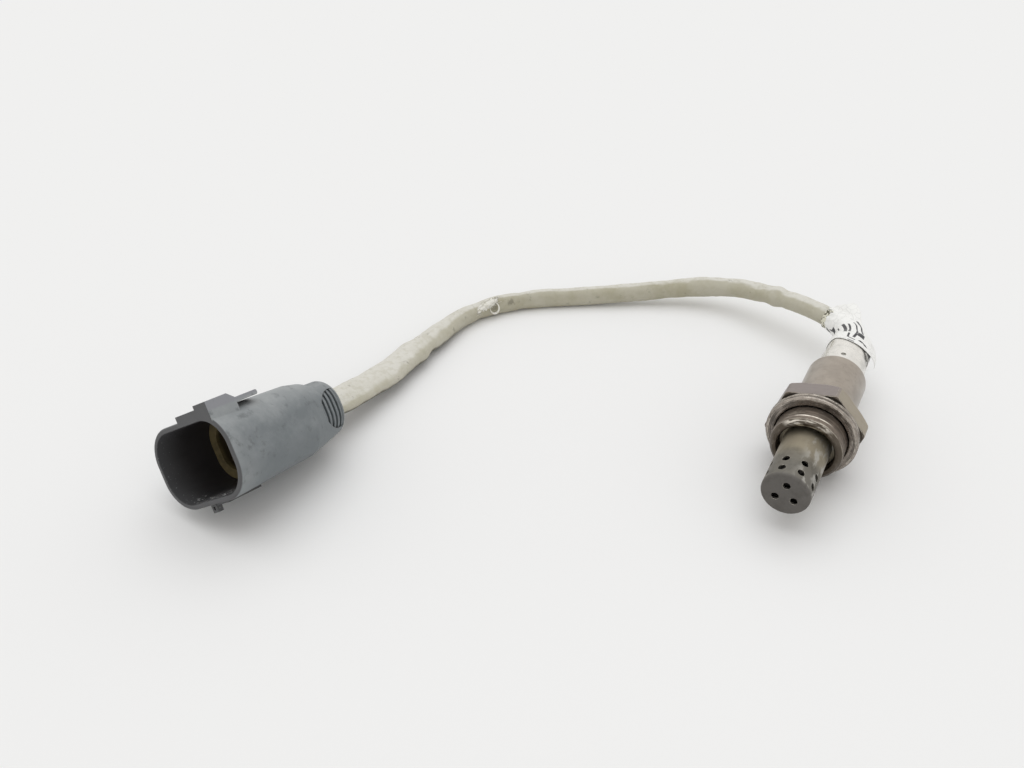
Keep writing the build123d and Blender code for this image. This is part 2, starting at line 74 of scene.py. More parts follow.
# Connector: the middle of its mouth, its turns and its lengths along its axis
CONNECTOR_PLACE = Vector((-125.0, -82.3, 6.0)) * MM
CONNECTOR_YAW = math.radians(8.9)
CONNECTOR_PITCH = math.radians(12.4)
CONNECTOR_ROLL = math.radians(35.0)
HOUSING_LENGTH = 40.5 * MM
SOCKET_DEPTH = 15.0 * MM
# Where the housing's finishes begin and where they are full: up towards the rail, or along from the mouth
UPPER_HAZE = (1.5 * MM, 9.5 * MM)
MOUTH_HAZE = (7.0 * MM, 0.5 * MM)
RAIL_FOOT = (10.3 * MM, 10.9 * MM)
# Painted shade on the keeper below the housing
KEEPER_SHADE_DROP = (-9.9 * MM, -10.5 * MM)
LIP_DEPTH = (1.2 * MM, 0.4 * MM)
# The socket's walls get painted shade up to here, lighter near the mouth where lit
SOCKET_END = (26.0 * MM, 24.0 * MM)
SOCKET_LIT = (9.0 * MM, 0.0)
# Painted shade on the carrier's floor
CARRIER_SHADE_FLOOR = (SOCKET_DEPTH + 0.3 * MM, SOCKET_DEPTH + 1.5 * MM)
# Facing: out of the mouth for its lip, and inwards for the painted shade on the socket's wall and under the
# label's flap
LIP_FACING = (-0.35, -0.75)
INWARD = (0.0, -1.0 * MM)
# Crumbs in the socket: the wall below, and their reach across and along it with its softness
CRUMB_WALL = (-7.6 * MM, -8.6 * MM)
CRUMB_ACROSS = (-9.0 * MM, 9.0 * MM, 2.0 * MM)
CRUMB_ALONG = (0.9 * MM, 5.5 * MM, 0.6 * MM)

# Cable: its route's points in millimetres up to the last run, which lies on the connector's axis
CABLE_ROUTE = (
    (0.0, 43.1, 0.0),
    (0.0, 53.2, 0.0),
    (-21.2, 63.1, -0.4),
    (-45.5, 70.0, -5.2),
    (-74.0, 55.5, -8.9),
    (-110.0, 33.5, -9.25),
    (-114.7, 2.0, -8.8),
)
CABLE_LAST_RUN = 20.0 * MM
CABLE_STEPS = 48
CABLE_SIDES = 40
CABLE_UV = "round_and_along"
# Uneven sleeve: how often a swelling comes round it, its length along it and where its noise starts
LUMPS = (0.7, 7.0 * MM, 0.0)
WRINKLES = (2.2, 1.6 * MM, 5.0)
FOLD_TWIST = 34.0 * MM
# Kinks in millimetres: distance along the cable, how far the sleeve is pinched and over what length
CABLE_KINKS = (
    (33.6, 0.45, 1.5), (36.6, -0.42, 1.5), (40.0, 0.25, 1.6), (62.0, -0.28, 2.4), (72.0, 0.22, 2.4),
    (118.5, 0.30, 2.0), (133.5, 0.30, 1.8), (151.0, -0.25, 2.6), (158.5, 0.32, 2.0), (163.5, -0.30, 2.4),
)
# Where the sleeve begins to widen towards the connector, where it is widest and by what share
FLAT_START = 128.0 * MM
FLAT_FULL = 178.0 * MM
FLAT_WIDER = 0.75
# Side of the cable kept pale as painted light, and where, in girths along it, it gets cleaner and gets
# painted shade with grime below
LIT_CABLE_SIDE = (-0.25, 0.50, 0.83)
CLEANER_FROM = (7.6, 9.6)
SHADE_AND_GRIME_FROM = (7.8, 9.0)

# Torn place of the cable's sleeve: its ends along the cable, its middle round the cable at both, its width
TEAR_START = 126.8 * MM
TEAR_END = 135.2 * MM
TEAR_TURN_START = 0.20
TEAR_TURN_END = 0.085
TEAR_WIDTH = 0.15
# Its flap: faces along and across, film, clearance, height of the curl and of the unevenness
FLAP_FACES = (26, 14)
FLAP_THICKNESS = 0.14 * MM
FLAP_CLEARANCE = 0.06 * MM
FLAP_CURL = 0.75 * MM
FLAP_UNEVEN = 0.30 * MM
# Its loop of yarn: faces along and round, middle, radius, the yarn's half thickness, end angles and rise
LOOP_FACES = (24, 8)
LOOP_AT = 128.7 * MM
LOOP_TURN = 0.055
LOOP_R = 1.6 * MM
LOOP_YARN = 0.30 * MM
LOOP_ANGLES = (math.radians(60.0), math.radians(-190.0))
LOOP_RISE = 0.5 * MM
# Its loose fibres: how many, both ends' radii, lengths and lifts in millimetres, and slant in turns
FIBRES = 22
FIBRE_R = 0.09 * MM
FIBRE_TIP_R = 0.03 * MM
FIBRE_LENGTHS = (1.6, 3.6)
FIBRE_LIFTS = (0.15, 0.45)
FIBRE_SLOPE = 0.02
# Brown spots on the sleeve: round it, along it and half width
CABLE_SPOTS = ((0.085, 122.7 * MM, 1.3 * MM), (LOOP_TURN, LOOP_AT, 1.9 * MM))

# Label: radius of its wrap at distances from the cable's start, in millimetres, negative on the sleeve
LABEL_WRAP = ((-8.0, 5.94), (-0.5, 5.92), (4.5, 4.6), (10.0, 3.75), (18.0, 3.2))
LABEL_UV = "label_print"
LABEL_FACES = (132, 60)
# Turns of film, then degrees round the sleeve from its left over its top: loose end, fold, short sides
LABEL_TURNS = 1.12
LABEL_FREE_END = 186.0
LABEL_FOLD_AT = 133.0
LABEL_FOLD_HALF = 22.0
LABEL_SIDES = ((96.0, 40.0), (215.0, 265.0))
# Millimetres along: both edges, how far the front is short at the sides and the rear at the fold,
# how ragged they are, and where the film comes loose
LABEL_FRONT = -5.0
LABEL_REAR = 18.0
LABEL_FRONT_SHORT = 2.6
LABEL_REAR_SHORT = 3.4
LABEL_FRONT_RAGGED = 0.25
LABEL_REAR_RAGGED = 0.9
LABEL_LOOSE = (-2.5, 3.0)
# Lift of the outer turn, of the fold and of the loose flap, and where along and round the last two rise
LABEL_OUTER_LIFT = 0.2 * MM
LABEL_FOLD_LIFT = 3.8 * MM
LABEL_FOLD_REACH = (6.5, 14.5)
LABEL_FLAP_LIFT = 1.7 * MM
LABEL_FLAP_TURN = (0.86, 1.0)
LABEL_FLAP_REACH = (5.0, -4.0)
# Creases of the film: folds across it, up it and a start for each, and the level that stays on the wrap
LABEL_CREASES = ((3.1, 2.0, 0.2), (-2.4, 3.3, 0.6), (5.2, -1.2, 0.9), (1.3, 5.1, 0.4), (-6.0, -3.4, 0.1))
LABEL_CREASE_MIDDLE = 0.42
# Bars of the label's print in label coordinates
BAR_SIZES = ("across", "height", "width", "length", "lean")
LABEL_BARS = (
    (0.690, 0.355, 0.030, 0.36, -0.077),
    (0.729, 0.360, 0.017, 0.33, -0.023),
    (0.783, 0.385, 0.013, 0.37, 0.0),
    (0.825, 0.440, 0.015, 0.37, 0.02),
    (0.738, 0.110, 0.014, 0.10, 0.0),
    (0.779, 0.150, 0.018, 0.10, 0.1),
    (0.815, 0.205, 0.050, 0.08, 0.0),
    (0.765, 0.060, 0.050, 0.014, 0.0),
    (0.765, 0.014, 0.045, 0.014, 0.0),
    (0.829, 0.090, 0.034, 0.030, 0.5),
    (0.862, 0.083, 0.030, 0.034, -0.5),
    (0.558, 0.608, 0.038, 0.16, 0.05),
    (0.483, 0.817, 0.026, 0.12, 0.1),
    (0.621, 0.450, 0.014, 0.12, -0.1),
    (0.592, 0.133, 0.034, 0.06, 0.2),
    (0.622, 0.190, 0.016, 0.12, 0.15),
    (0.530, 0.700, 0.014, 0.14, -0.2),
)

# Sensor: stations along its axis and radii
TIP_Y = -24.0 * MM
TUBE_R = 6.0 * MM
RIM_Y = -6.0 * MM
RIM_R = 8.2 * MM
# Radii where the recess's painted shade begins and where it is full
RECESS_EDGE = (7.45 * MM, 7.15 * MM)
GASKET_REAR_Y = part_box("gasket_ring")[1][1]
HEX_FRONT_Y = 2.6 * MM
HEX_REAR_Y = 7.6 * MM
COVER_END_Y = 27.2 * MM
SLEEVE_STEP_Y = 35.0 * MM
THREAD_R = 9.0 * MM
THREAD_START = -5.1 * MM
THREAD_PITCH = 1.5 * MM
THREAD_TURNS = 1.6
THREAD_STEPS = 96
THREAD_CREST = 0.16 * MM
THREAD_SUNK = 0.05 * MM
THREAD_HALF_BASE = 0.32 * MM
THREAD_FADES = (0.12, 0.3)
# Sides of the sensor: a lit top for painted highlight and shade, scuffed tube, and flats facing one side
# painted lighter
LIT_TOP_SIDE = (-0.10, 0.0, 0.99)
SCUFFED_SIDE = (0.9, 0.0, 0.45)
LIT_FLATS_SIDE = (0.8, 0.0, 0.6)


def colour_setting(label, words, value):
    """A colour that a user may change."""
    return FloatVectorProperty(
        name=label, description=words, subtype="COLOR", size=3, min=0.0, max=1.0, default=value
    )


def length_setting(label, words, value):
    """A length in metres that a user may change."""
    return FloatProperty(name=label, description=words, unit="LENGTH", default=value, min=0.0, precision=5)


class SensorCableSettings(bpy.types.PropertyGroup):
    """Sizes and colours of the cable."""

    diameter: length_setting("Diameter", "Outside of the woven sleeve", 5.5 * MM)
    lump: length_setting("Lumps", "Height of the uneven swellings", 0.24 * MM)
    wrinkle: length_setting("Wrinkles", "Height of the fine wrinkles", 0.09 * MM)
    fold: length_setting("Folds", "Height of the folds along the sleeve", 0.16 * MM)
    yarns: IntProperty(name="Yarns", description="Yarns round the sleeve", default=44, min=8, max=120)
    # Clean is also the painted light on the cable's top, and soiled the painted shade below it
    clean: colour_setting("Clean", "Sleeve where it is clean", (0.66, 0.645, 0.59))
    soiled: colour_setting("Soiled", "Sleeve where it is stained", (0.40, 0.375, 0.275))
    frayed: colour_setting("Frayed", "Torn yarn", (0.83, 0.815, 0.755))


class SensorLabelSettings(bpy.types.PropertyGroup):
    """Sizes and colours of the label."""

    thickness: length_setting("Thickness", "Thickness of the film", 0.12 * MM)
    crumple: length_setting("Crumple", "Height of the creases", 0.34 * MM)
    paper: colour_setting("Paper", "Bare label", (0.86, 0.86, 0.84))
    # Painted shade in the creases
    crease: colour_setting("Crease", "Grey in the finest creases", (0.30, 0.30, 0.28))
    ink: colour_setting("Ink", "Printed bars", (0.030, 0.030, 0.034))
    frayed_dark: colour_setting("Frayed, dark", "Dirt at the frayed end", (0.085, 0.080, 0.048))
    frayed_pale: colour_setting("Frayed, pale", "Fibres at the frayed end", (0.72, 0.70, 0.58))
    # Painted shade under the loose flap, where the film stands off the sleeve
    under_flap_shade: colour_setting("Underside", "Grimy side of the loose flap", (0.035, 0.032, 0.028))


class SensorMetalSettings(bpy.types.PropertyGroup):
    """Colours of the sensor's metal."""

    tube: colour_setting("Tube", "Perforated tube", (0.172, 0.157, 0.126))
    smoke: colour_setting("Smoke", "Tube towards its tip", (0.158, 0.152, 0.140))
    root: colour_setting("Root", "Tube next to the shell", (0.275, 0.242, 0.180))
    scuff: colour_setting("Scuff", "Rubbed side of the tube", (0.40, 0.39, 0.36))
    soot: colour_setting("Soot", "Burnt tip", (0.150, 0.141, 0.131))
    shell: colour_setting("Shell", "Threaded shell", (0.225, 0.187, 0.155))
    streak: colour_setting("Streaks", "Rubbed streaks on the shell", (0.40, 0.36, 0.30))
    flats: colour_setting("Flats", "Flats of the hexagon", (0.250, 0.222, 0.211))
    # Painted light: the flats facing one side are lighter and browner than the rest
    flats_lit: colour_setting("Warm flats", "Browner flats of the hexagon", (0.335, 0.298, 0.24))
    # Grime on the rim, darkened further as painted dark reflection
    rim_grime_and_shade: colour_setting("Rim grime", "Grime on the shell's rim", (0.085, 0.070, 0.054))
    # Painted highlight on top of the shell's rim
    rim_highlight: colour_setting("Rubbed rim", "Bright top of the shell's rim", (0.66, 0.62, 0.55))
    # Painted shade in the hollow round the tube
    recess_shade: colour_setting("Recess", "Hollow round the tube", (0.045, 0.035, 0.027))
    # The thread's bright colour shows only on its top, as a painted highlight
    thread: colour_setting("Thread", "Rubbed thread", (0.60, 0.55, 0.48))
    gasket: colour_setting("Gasket", "Crush gasket", (0.34, 0.30, 0.265))
    gasket_streak: colour_setting("Gasket streaks", "Rubbed streaks on the gasket", (0.62, 0.57, 0.50))
    cover: colour_setting("Cover", "Brown cover", (0.308, 0.266, 0.222))
    cover_end: colour_setting("Cover's end", "Rubbed end of the cover", (0.48, 0.45, 0.40))
    sleeve: colour_setting("Sleeve", "Bright rear sleeve", (0.75, 0.735, 0.70))
    sleeve_edge: colour_setting("Sleeve's edges", "Bare edges of the sleeve", (0.9, 0.88, 0.84))
    bright: colour_setting("Worn edge", "Bare metal at worn edges", (0.72, 0.68, 0.60))


class SensorConnectorSettings(bpy.types.PropertyGroup):
    """Colours of the connector."""

    outside: colour_setting("Outside", "Faded housing", (0.138, 0.156, 0.166))
    haze: colour_setting("Haze", "Dusty, scuffed housing", (0.330, 0.345, 0.350))
    rail: colour_setting("Rail", "Latch rail", (0.235, 0.238, 0.258))
    lip: colour_setting("Lip", "Rim of the mouth", (0.070, 0.071, 0.074))
    # Painted shade in the socket and on the keeper
    inside: colour_setting("Inside", "Dark of the socket", (0.020, 0.018, 0.019))
    crumb: colour_setting("Crumbs", "Pale crumbs in the socket", (0.85, 0.85, 0.85))
    carrier: colour_setting("Carrier", "Tan insert", (0.155, 0.122, 0.055))
    # Painted shade on the carrier's floor
    carrier_floor_shade: colour_setting("Carrier recess", "Floor of the insert", (0.045, 0.032, 0.014))
    # The pins are darkened as painted shade inside the socket
    pin: colour_setting("Pins", "Dull pins", (0.10, 0.085, 0.06))
    pin_dark: colour_setting("Pin stains", "Stains on the pins", (0.05, 0.04, 0.03))


class SensorStageSettings(bpy.types.PropertyGroup):
    """Light and bench."""

    bench: colour_setting("Bench", "Colour of the bench", (0.848, 0.848, 0.848))
    backdrop: colour_setting("Backdrop", "What shows beyond the bench", (0.868, 0.868, 0.864))
    sky_colour: colour_setting("Sky colour", "Tint of the even light", (1.0, 0.985, 0.962))
    sky: FloatProperty(name="Sky", description="Even light from all round", default=0.76, min=0.0, max=3.0)
    lamp_colour: colour_setting("Lamp colour", "Tint of the soft lamp", (0.94, 0.97, 1.0))
    lamp: FloatProperty(name="Lamp", description="Strength of the lamp", default=0.92, min=0.0, max=10.0)
    lamp_size: FloatProperty(
        name="Lamp size", description="How large it looks", subtype="ANGLE", default=math.radians(68.0)
    )


class Graph:
    """Short calls that place and join the nodes of one tree."""

    def __init__(self, tree):
        self.tree = tree

    def add(self, kind, inputs=None, **settings):
        node = self.tree.nodes.new(kind)
        for name, value in settings.items():
            setattr(node, name, value)
        for key, value in (inputs or {}).items():
            self.feed(node.inputs[key], value)
        return node

    def feed(self, socket, value):
        if isinstance(value, bpy.types.NodeSocket):
            self.tree.links.new(value, socket)
        elif socket.type == "RGBA":
            socket.default_value = (*value[:3], 1.0)
        else:
            socket.default_value = value

    def math(self, operation, a, b=0.0, clamp=False):
        return self.add("ShaderNodeMath", {0: a, 1: b}, operation=operation, use_clamp=clamp).outputs[0]

    def plus(self, a, b, clamp=False):
        return self.math("ADD", a, b, clamp)

    def minus(self, a, b, clamp=False):
        return self.math("SUBTRACT", a, b, clamp)

    def times(self, first, *others):
        for other in others:
            first = self.math("MULTIPLY", first, other)
        return first

    def mix(self, share, a, b):
        """From colour a at 0 to colour b at 1."""
        return self.add("ShaderNodeMix", {0: share, 6: a, 7: b}, data_type="RGBA").outputs[2]

    def over(self, colour, tint, mask, share=None):
        """Lays a tint over a colour where the mask is, all of it or a share."""
        return self.mix(mask if share is None else self.times(mask, share), colour, tint)

    def blend(self, share, a, b):
        """From value a at 0 to value b at 1."""
        return self.add("ShaderNodeMix", {0: share, 2: a, 3: b}, data_type="FLOAT").outputs[0]

    def step(self, value, low, high):
        """Rises softly from 0 at low to 1 at high, or falls where low is the larger."""
        inputs = {"Value": value, "From Min": low, "From Max": high}
        return self.add("ShaderNodeMapRange", inputs, interpolation_type="SMOOTHSTEP").outputs["Result"]

    def band(self, value, low, high, soft):
        """1 between low and high, with soft ends."""
        return self.times(
            self.step(value, low - soft, low + soft), self.step(value, high + soft, high - soft)
        )

    def noise(self, vector, scale, detail=4.0, roughness=0.55):
        inputs = {"Vector": vector, "Scale": scale, "Detail": detail, "Roughness": roughness}
        return self.add("ShaderNodeTexNoise", inputs).outputs["Fac"]

    def wobble(self, vector, scale, height, detail=4.0):
        """Noise about zero."""
        return self.times(self.minus(self.noise(vector, scale, detail), 0.5), height)

    def place(self):
        """The surface point in the object's own frame, in metres."""
        return self.add("ShaderNodeTexCoord").outputs["Object"]

    def normal(self):
        return self.add("ShaderNodeNewGeometry").outputs["Normal"]

    def facing(self, way):
        """How far the surface faces a way, from -1 to 1."""
        return self.dot(self.normal(), tuple(way))

    def chart(self, name):
        """The piece's own coordinates."""
        return self.add("ShaderNodeUVMap", uv_map=name).outputs["UV"]

    def parts(self, vector):
        return self.add("ShaderNodeSeparateXYZ", {0: vector}).outputs

    def stretched(self, vector, scale):
        return self.add("ShaderNodeMapping", {"Vector": vector, "Scale": scale}).outputs["Vector"]

    def vectors(self, operation, a, b):
        return self.add("ShaderNodeVectorMath", {0: a, 1: b}, operation=operation).outputs

    def dot(self, vector, way):
        return self.vectors("DOT_PRODUCT", vector, way)["Value"]

    def bump(self, height, strength, depth, normal=None):
        node = self.add("ShaderNodeBump", {"Strength": strength, "Distance": depth, "Height": height})
        if normal:
            self.feed(node.inputs["Normal"], normal)
        return node.outputs["Normal"]

    def group(self, tree, **inputs):
        node = self.add("ShaderNodeGroup", node_tree=tree)
        for name, value in inputs.items():
            self.feed(node.inputs[name.capitalize()], value)
        return node.outputs


FLOAT = "NodeSocketFloat"
VECTOR = "NodeSocketVector"


def effect(name, inputs, outputs, build):
    """A shader node group, made once; build gets its graph and inputs and returns its outputs by name."""
    tree = bpy.data.node_groups.get(name)
    if tree:
        return tree
    tree = bpy.data.node_groups.new(name, "ShaderNodeTree")
    for label, kind, value in inputs:
        socket = tree.interface.new_socket(label, in_out="INPUT", socket_type=kind)
        if value is not None:
            socket.default_value = value
    for label, kind in outputs:
        tree.interface.new_socket(label, in_out="OUTPUT", socket_type=kind)
    graph = Graph(tree)
    entry = graph.add("NodeGroupInput").outputs
    result = graph.add("NodeGroupOutput")
    for label, socket in build(graph, entry).items():
        graph.feed(result.inputs[label], socket)
    return tree


def blotches():
    """Uneven patches from noise, cut off between two levels."""

    def build(g, entry):
        cloud = g.noise(entry["Vector"], entry["Scale"], detail=6.0, roughness=0.62)
        return {"Mask": g.step(cloud, entry["Low"], entry["High"])}

    inputs = [("Vector", VECTOR, None), ("Scale", FLOAT, 300.0), ("Low", FLOAT, 0.4), ("High", FLOAT, 0.7)]
    return effect("Blotches", inputs, [("Mask", FLOAT)], build)


def patches(g, place, scale, low, high):
    """Mask of uneven patches."""
    return g.group(blotches(), vector=place, scale=scale, low=low, high=high)["Mask"]


def worn_edges():
    """Edges rubbed bright and a normal that rounds them."""

    def build(g, entry):
        softened = g.add("ShaderNodeBevel", {"Radius": entry["Radius"]}, samples=6).outputs["Normal"]
        edge = g.step(g.dot(softened, g.normal()), 0.995, 0.90)
        broken = g.step(g.noise(entry["Vector"], entry["Scale"], detail=3.0), 0.35, 0.62)
        return {"Mask": g.times(edge, broken), "Normal": softened}

    inputs = [("Vector", VECTOR, None), ("Radius", FLOAT, 0.3 * MM), ("Scale", FLOAT, 700.0)]
    return effect("Worn edges", inputs, [("Mask", FLOAT), ("Normal", VECTOR)], build)


def axis_radius(g, part):
    """Distance from the sensor's axis, from the parts of a point."""
    return g.math("SQRT", g.plus(g.times(part[0], part[0]), g.times(part[2], part[2])))


def turned_lines():
    """Fine lines left round the axis by turning and drawing."""

    def build(g, entry):
        part = g.parts(entry["Vector"])
        section = g.add("ShaderNodeCombineXYZ", {0: axis_radius(g, part), 1: part[1]}).outputs[0]
        return {"Height": g.noise(section, entry["Density"], detail=2.0, roughness=0.7)}

    inputs = [("Vector", VECTOR, None), ("Density", FLOAT, 4000.0)]
    return effect("Turned lines", inputs, [("Height", FLOAT)], build)


def braid():
    """Crossing yarns of a woven sleeve, from its round and along coordinates."""

    def build(g, entry):
        part = g.parts(entry["Vector"])
        turns = g.times(entry["Yarns"], math.pi)
        one = g.times(g.plus(part[0], part[1]), turns)
        other = g.times(g.minus(part[0], part[1]), turns)
        weave = g.times(g.math("SINE", one), g.math("SINE", other))
        return {"Height": g.plus(g.times(weave, 0.5), 0.5)}

    inputs = [("Vector", VECTOR, None), ("Yarns", FLOAT, 44.0)]
    return effect("Braid", inputs, [("Height", FLOAT)], build)


def dust():
    """Pale dust on what faces up."""

    def build(g, entry):
        cloud = g.step(g.noise(entry["Vector"], entry["Scale"], detail=7.0, roughness=0.7), 0.42, 0.68)
        return {"Mask": g.times(g.step(g.facing(UP), 0.1, 0.9), cloud)}

    inputs = [("Vector", VECTOR, None), ("Scale", FLOAT, 250.0)]
    return effect("Dust", inputs, [("Mask", FLOAT)], build)


def printed_bar():
    """One upright or leaning bar of print in label coordinates."""

    def build(g, entry):
        part = g.parts(entry["Vector"])
        rise = g.minus(part[1], entry["Height"])
        lean = g.times(rise, entry["Lean"])
        away = g.math("ABSOLUTE", g.minus(g.minus(part[0], entry["Across"]), lean))
        inside = g.step(away, g.times(entry["Width"], 0.55), g.times(entry["Width"], 0.42))
        reach = g.math("ABSOLUTE", rise)
        within = g.step(reach, g.times(entry["Length"], 0.53), g.times(entry["Length"], 0.47))
        return {"Mask": g.times(inside, within)}

    inputs = [("Vector", VECTOR, None)] + [(size.capitalize(), FLOAT, 0.1) for size in BAR_SIZES]
    return effect("Printed bar", inputs, [("Mask", FLOAT)], build)


def connector_axes():
    """Directions across, towards the latch rail and along the connector, from its turns."""
    axis = Vector((
        math.cos(CONNECTOR_PITCH) * math.sin(CONNECTOR_YAW),
        math.cos(CONNECTOR_PITCH) * math.cos(CONNECTOR_YAW),
        -math.sin(CONNECTOR_PITCH),
    ))
    side = Vector((math.cos(CONNECTOR_YAW), -math.sin(CONNECTOR_YAW), 0.0))
    top = side.cross(axis)
    across = (side * math.cos(CONNECTOR_ROLL) + top * math.sin(CONNECTOR_ROLL)) * -1
    return across, axis.cross(across), axis


def connector_frame():
    """Place and facing of a surface point in the connector's own directions."""

    def build(g, entry):
        ways = [tuple(way) for way in connector_axes()]
        offset = g.vectors("SUBTRACT", g.place(), tuple(CONNECTOR_PLACE))["Vector"]
        x, y, z = (g.dot(offset, way) for way in ways)
        nx, ny, nz = (g.facing(way) for way in ways)
        outward = g.plus(g.times(x, nx), g.times(y, ny))
        return {"Across": x, "Rail": y, "Along": z, "Outward": outward, "Forward": nz}

    outputs = [(label, FLOAT) for label in ("Across", "Rail", "Along", "Outward", "Forward")]
    return effect("Connector frame", [], outputs, build)


def shade(colour, share):
    """A darker shade of a colour."""
    return tuple(part * share for part in colour)


def new_material(name):
    """A material, its graph and its shader."""
    material = bpy.data.materials.new(name)
    material.use_nodes = True
    return material, Graph(material.node_tree), material.node_tree.nodes["Principled BSDF"]


def join_shader(g, shader, colour, roughness, normal, **values):
    """Feeds a shader's main sockets and sets further ones to plain values."""
    g.feed(shader.inputs["Base Color"], colour)
    g.feed(shader.inputs["Roughness"], roughness)
    g.feed(shader.inputs["Normal"], normal)
    for name, value in values.items():
        shader.inputs[name.replace("_", " ").title()].default_value = value


def worn_metal(name, base, stain, bright, roughness, edge, zones=(), blotch=320.0, coat=0.0):
    """Used metal: stains, turned lines, rubbed edges, and zones of (mask maker, colour, gloss change)."""
    material, g, shader = new_material(name)
    place = g.place()
    stained = patches(g, place, scale=blotch, low=0.42, high=0.66)
    fine = patches(g, place, scale=blotch * 5, low=0.55, high=0.72)
    colour = g.mix(stained, base, stain)
    colour = g.over(colour, shade(stain, 0.45), fine, share=0.3)
    gloss = g.blend(stained, roughness, roughness + 0.14)
    for maker, tint, change in zones:
        mask = maker(g, place)
        colour = g.over(colour, tint, mask)
        gloss = g.plus(gloss, g.times(mask, change), clamp=True)
    rubbed = g.group(worn_edges(), vector=place, radius=edge, scale=900.0)
    colour = g.over(colour, bright, rubbed["Mask"], share=0.75)
    gloss = g.minus(gloss, g.times(rubbed["Mask"], 0.12), clamp=True)
    lines = g.group(turned_lines(), vector=place, density=5200.0)["Height"]
    height = g.plus(lines, g.times(g.noise(place, 1500.0, detail=5.0), 1.2))
    normal = g.bump(height, 0.25, 0.06 * MM, rubbed["Normal"])
    join_shader(g, shader, colour, gloss, normal, metallic=0.9, coat_weight=coat, coat_roughness=0.3)
    return material


def plain_finish(name, base, stain, roughness, metallic):
    """Finish of a piece that is out of sight or nearly so."""
    material, g, shader = new_material(name)
    place = g.place()
    stained = patches(g, place, scale=500.0, low=0.4, high=0.7)
    gloss = g.blend(stained, roughness, min(1.0, roughness + 0.15))
    normal = g.bump(g.noise(place, 1800.0), 0.2, 0.1 * MM)
    join_shader(g, shader, g.mix(stained, base, stain), gloss, normal, metallic=metallic)
    return material


def axis_step(low, high, share=1.0, cloud=None):
    """Mask maker: rises from low to high along the sensor's axis, shifted by a cloud of (scale, height)."""

    def mask(g, place):
        along = g.parts(place)[1]
        if cloud:
            along = g.plus(along, g.wobble(place, *cloud))
        return g.times(g.step(along, low, high), share)

    return mask


def axis_band(low, high, soft, share=1.0):
    """Mask maker: between two stations of the sensor's axis."""
    return lambda g, place: g.times(g.band(g.parts(place)[1], low, high, soft), share)


def streaks(density, breaks, low, high, share):
    """Mask maker: streaks round the axis, broken along their length by noise of (scale, height)."""

    def mask(g, place):
        lines = g.group(turned_lines(), vector=place, density=density)["Height"]
        return g.times(g.step(g.plus(lines, g.wobble(place, *breaks)), low, high), share)

    return mask


dark_streaks = streaks(1300.0, (260.0, 0.5), low=0.46, high=0.60, share=0.8)
rubbed_streaks = streaks(1700.0, (330.0, 0.7), low=0.57, high=0.68, share=0.75)
tip_face = axis_step(TIP_Y + 1.0 * MM, TIP_Y + 0.2 * MM)
tip_smoke = axis_step(TIP_Y + 14.0 * MM, TIP_Y + 2.0 * MM, share=0.6, cloud=(220.0, 6.0 * MM))
tube_root = axis_step(TIP_Y + 7.5 * MM, TIP_Y + 13.0 * MM, share=0.85, cloud=(200.0, 5.0 * MM))
# Painted shade on the gasket where it meets the hexagon
gasket_seat_shade = axis_step(GASKET_REAR_Y - 0.75 * MM, GASKET_REAR_Y - 0.35 * MM)
# Painted shade on the hexagon's front face, beside the gasket
hex_front_shade = axis_band(HEX_FRONT_Y - 0.4 * MM, HEX_FRONT_Y + 0.08 * MM, 0.05 * MM, share=0.85)
hex_flats = axis_band(HEX_FRONT_Y + 0.3 * MM, HEX_REAR_Y + 1.0 * MM, 0.12 * MM)
cover_end = axis_step(COVER_END_Y - 0.7 * MM, COVER_END_Y - 0.1 * MM, share=0.55)
# Painted shade along the sleeve's step
sleeve_step_shade = axis_band(SLEEVE_STEP_Y, SLEEVE_STEP_Y + 0.45 * MM, 0.2 * MM, share=0.75)


def side_scuff(g, place):
    """Scuffs on one side of the tube."""
    side = g.step(g.dot(place, SCUFFED_SIDE), 0.45 * TUBE_R, 0.9 * TUBE_R)
    scuffs = g.noise(g.stretched(place, (520.0, 240.0, 520.0)), 1.0, detail=5.0)
    return g.times(side, g.step(scuffs, 0.47, 0.60), 0.75)


def shell_recess_shade(g, place):
    """Painted shade in the hollow of the shell round the tube."""
    return g.times(g.step(axis_radius(g, g.parts(place)), *RECESS_EDGE), 0.92)


def rim_grime_and_shade(g, place):
    """Grime and painted dark reflection on the rim, rubbed off in places."""
    ring = axis_step(RIM_Y + 1.1 * MM, RIM_Y + 0.4 * MM)(g, place)
    kept = g.step(g.noise(place, 420.0, detail=3.0), 0.60, 0.46)
    return g.times(ring, g.blend(kept, 0.66, 1.0))


def near_top(g, place, radius):
    """1 at the lit top of a round piece of this radius, fading down both sides; it places painted highlight
    and shade.
    """
    return g.step(g.dot(place, LIT_TOP_SIDE), 0.72 * radius, 0.94 * radius)


def rim_highlight(g, place):
    """Painted highlight in bright streaks on top of the rim."""
    ring = axis_step(RIM_Y + 1.1 * MM, RIM_Y + 0.5 * MM)(g, place)
    rubbed = g.noise(g.stretched(place, (260.0, 2600.0, 900.0)), 1.0, detail=3.0)
    return g.times(ring, g.step(rubbed, 0.44, 0.60), near_top(g, place, RIM_R))


def thread_shaded_sides(g, place):
    """Painted shade on the thread away from its top, which keeps a painted highlight."""
    return g.minus(1.0, near_top(g, place, THREAD_R))


def hex_lit_flats(g, place):
    """Painted light: the flats facing one side of the hexagon are made lighter and browner."""
    return g.times(hex_flats(g, place), g.step(g.facing(LIT_FLATS_SIDE), 0.75, 0.95))


def tube_finish(s):
    """Burnt tube, paler at its root and scuffed on one side."""
    zones = (
        (tip_smoke, s.smoke, 0.06),
        (tube_root, s.root, 0.0),
        (side_scuff, s.scuff, -0.1),
        (tip_face, s.soot, 0.16),
    )
    return worn_metal("tube_burnt", s.tube, shade(s.tube, 0.78), s.bright, 0.44, 0.15 * MM, zones)


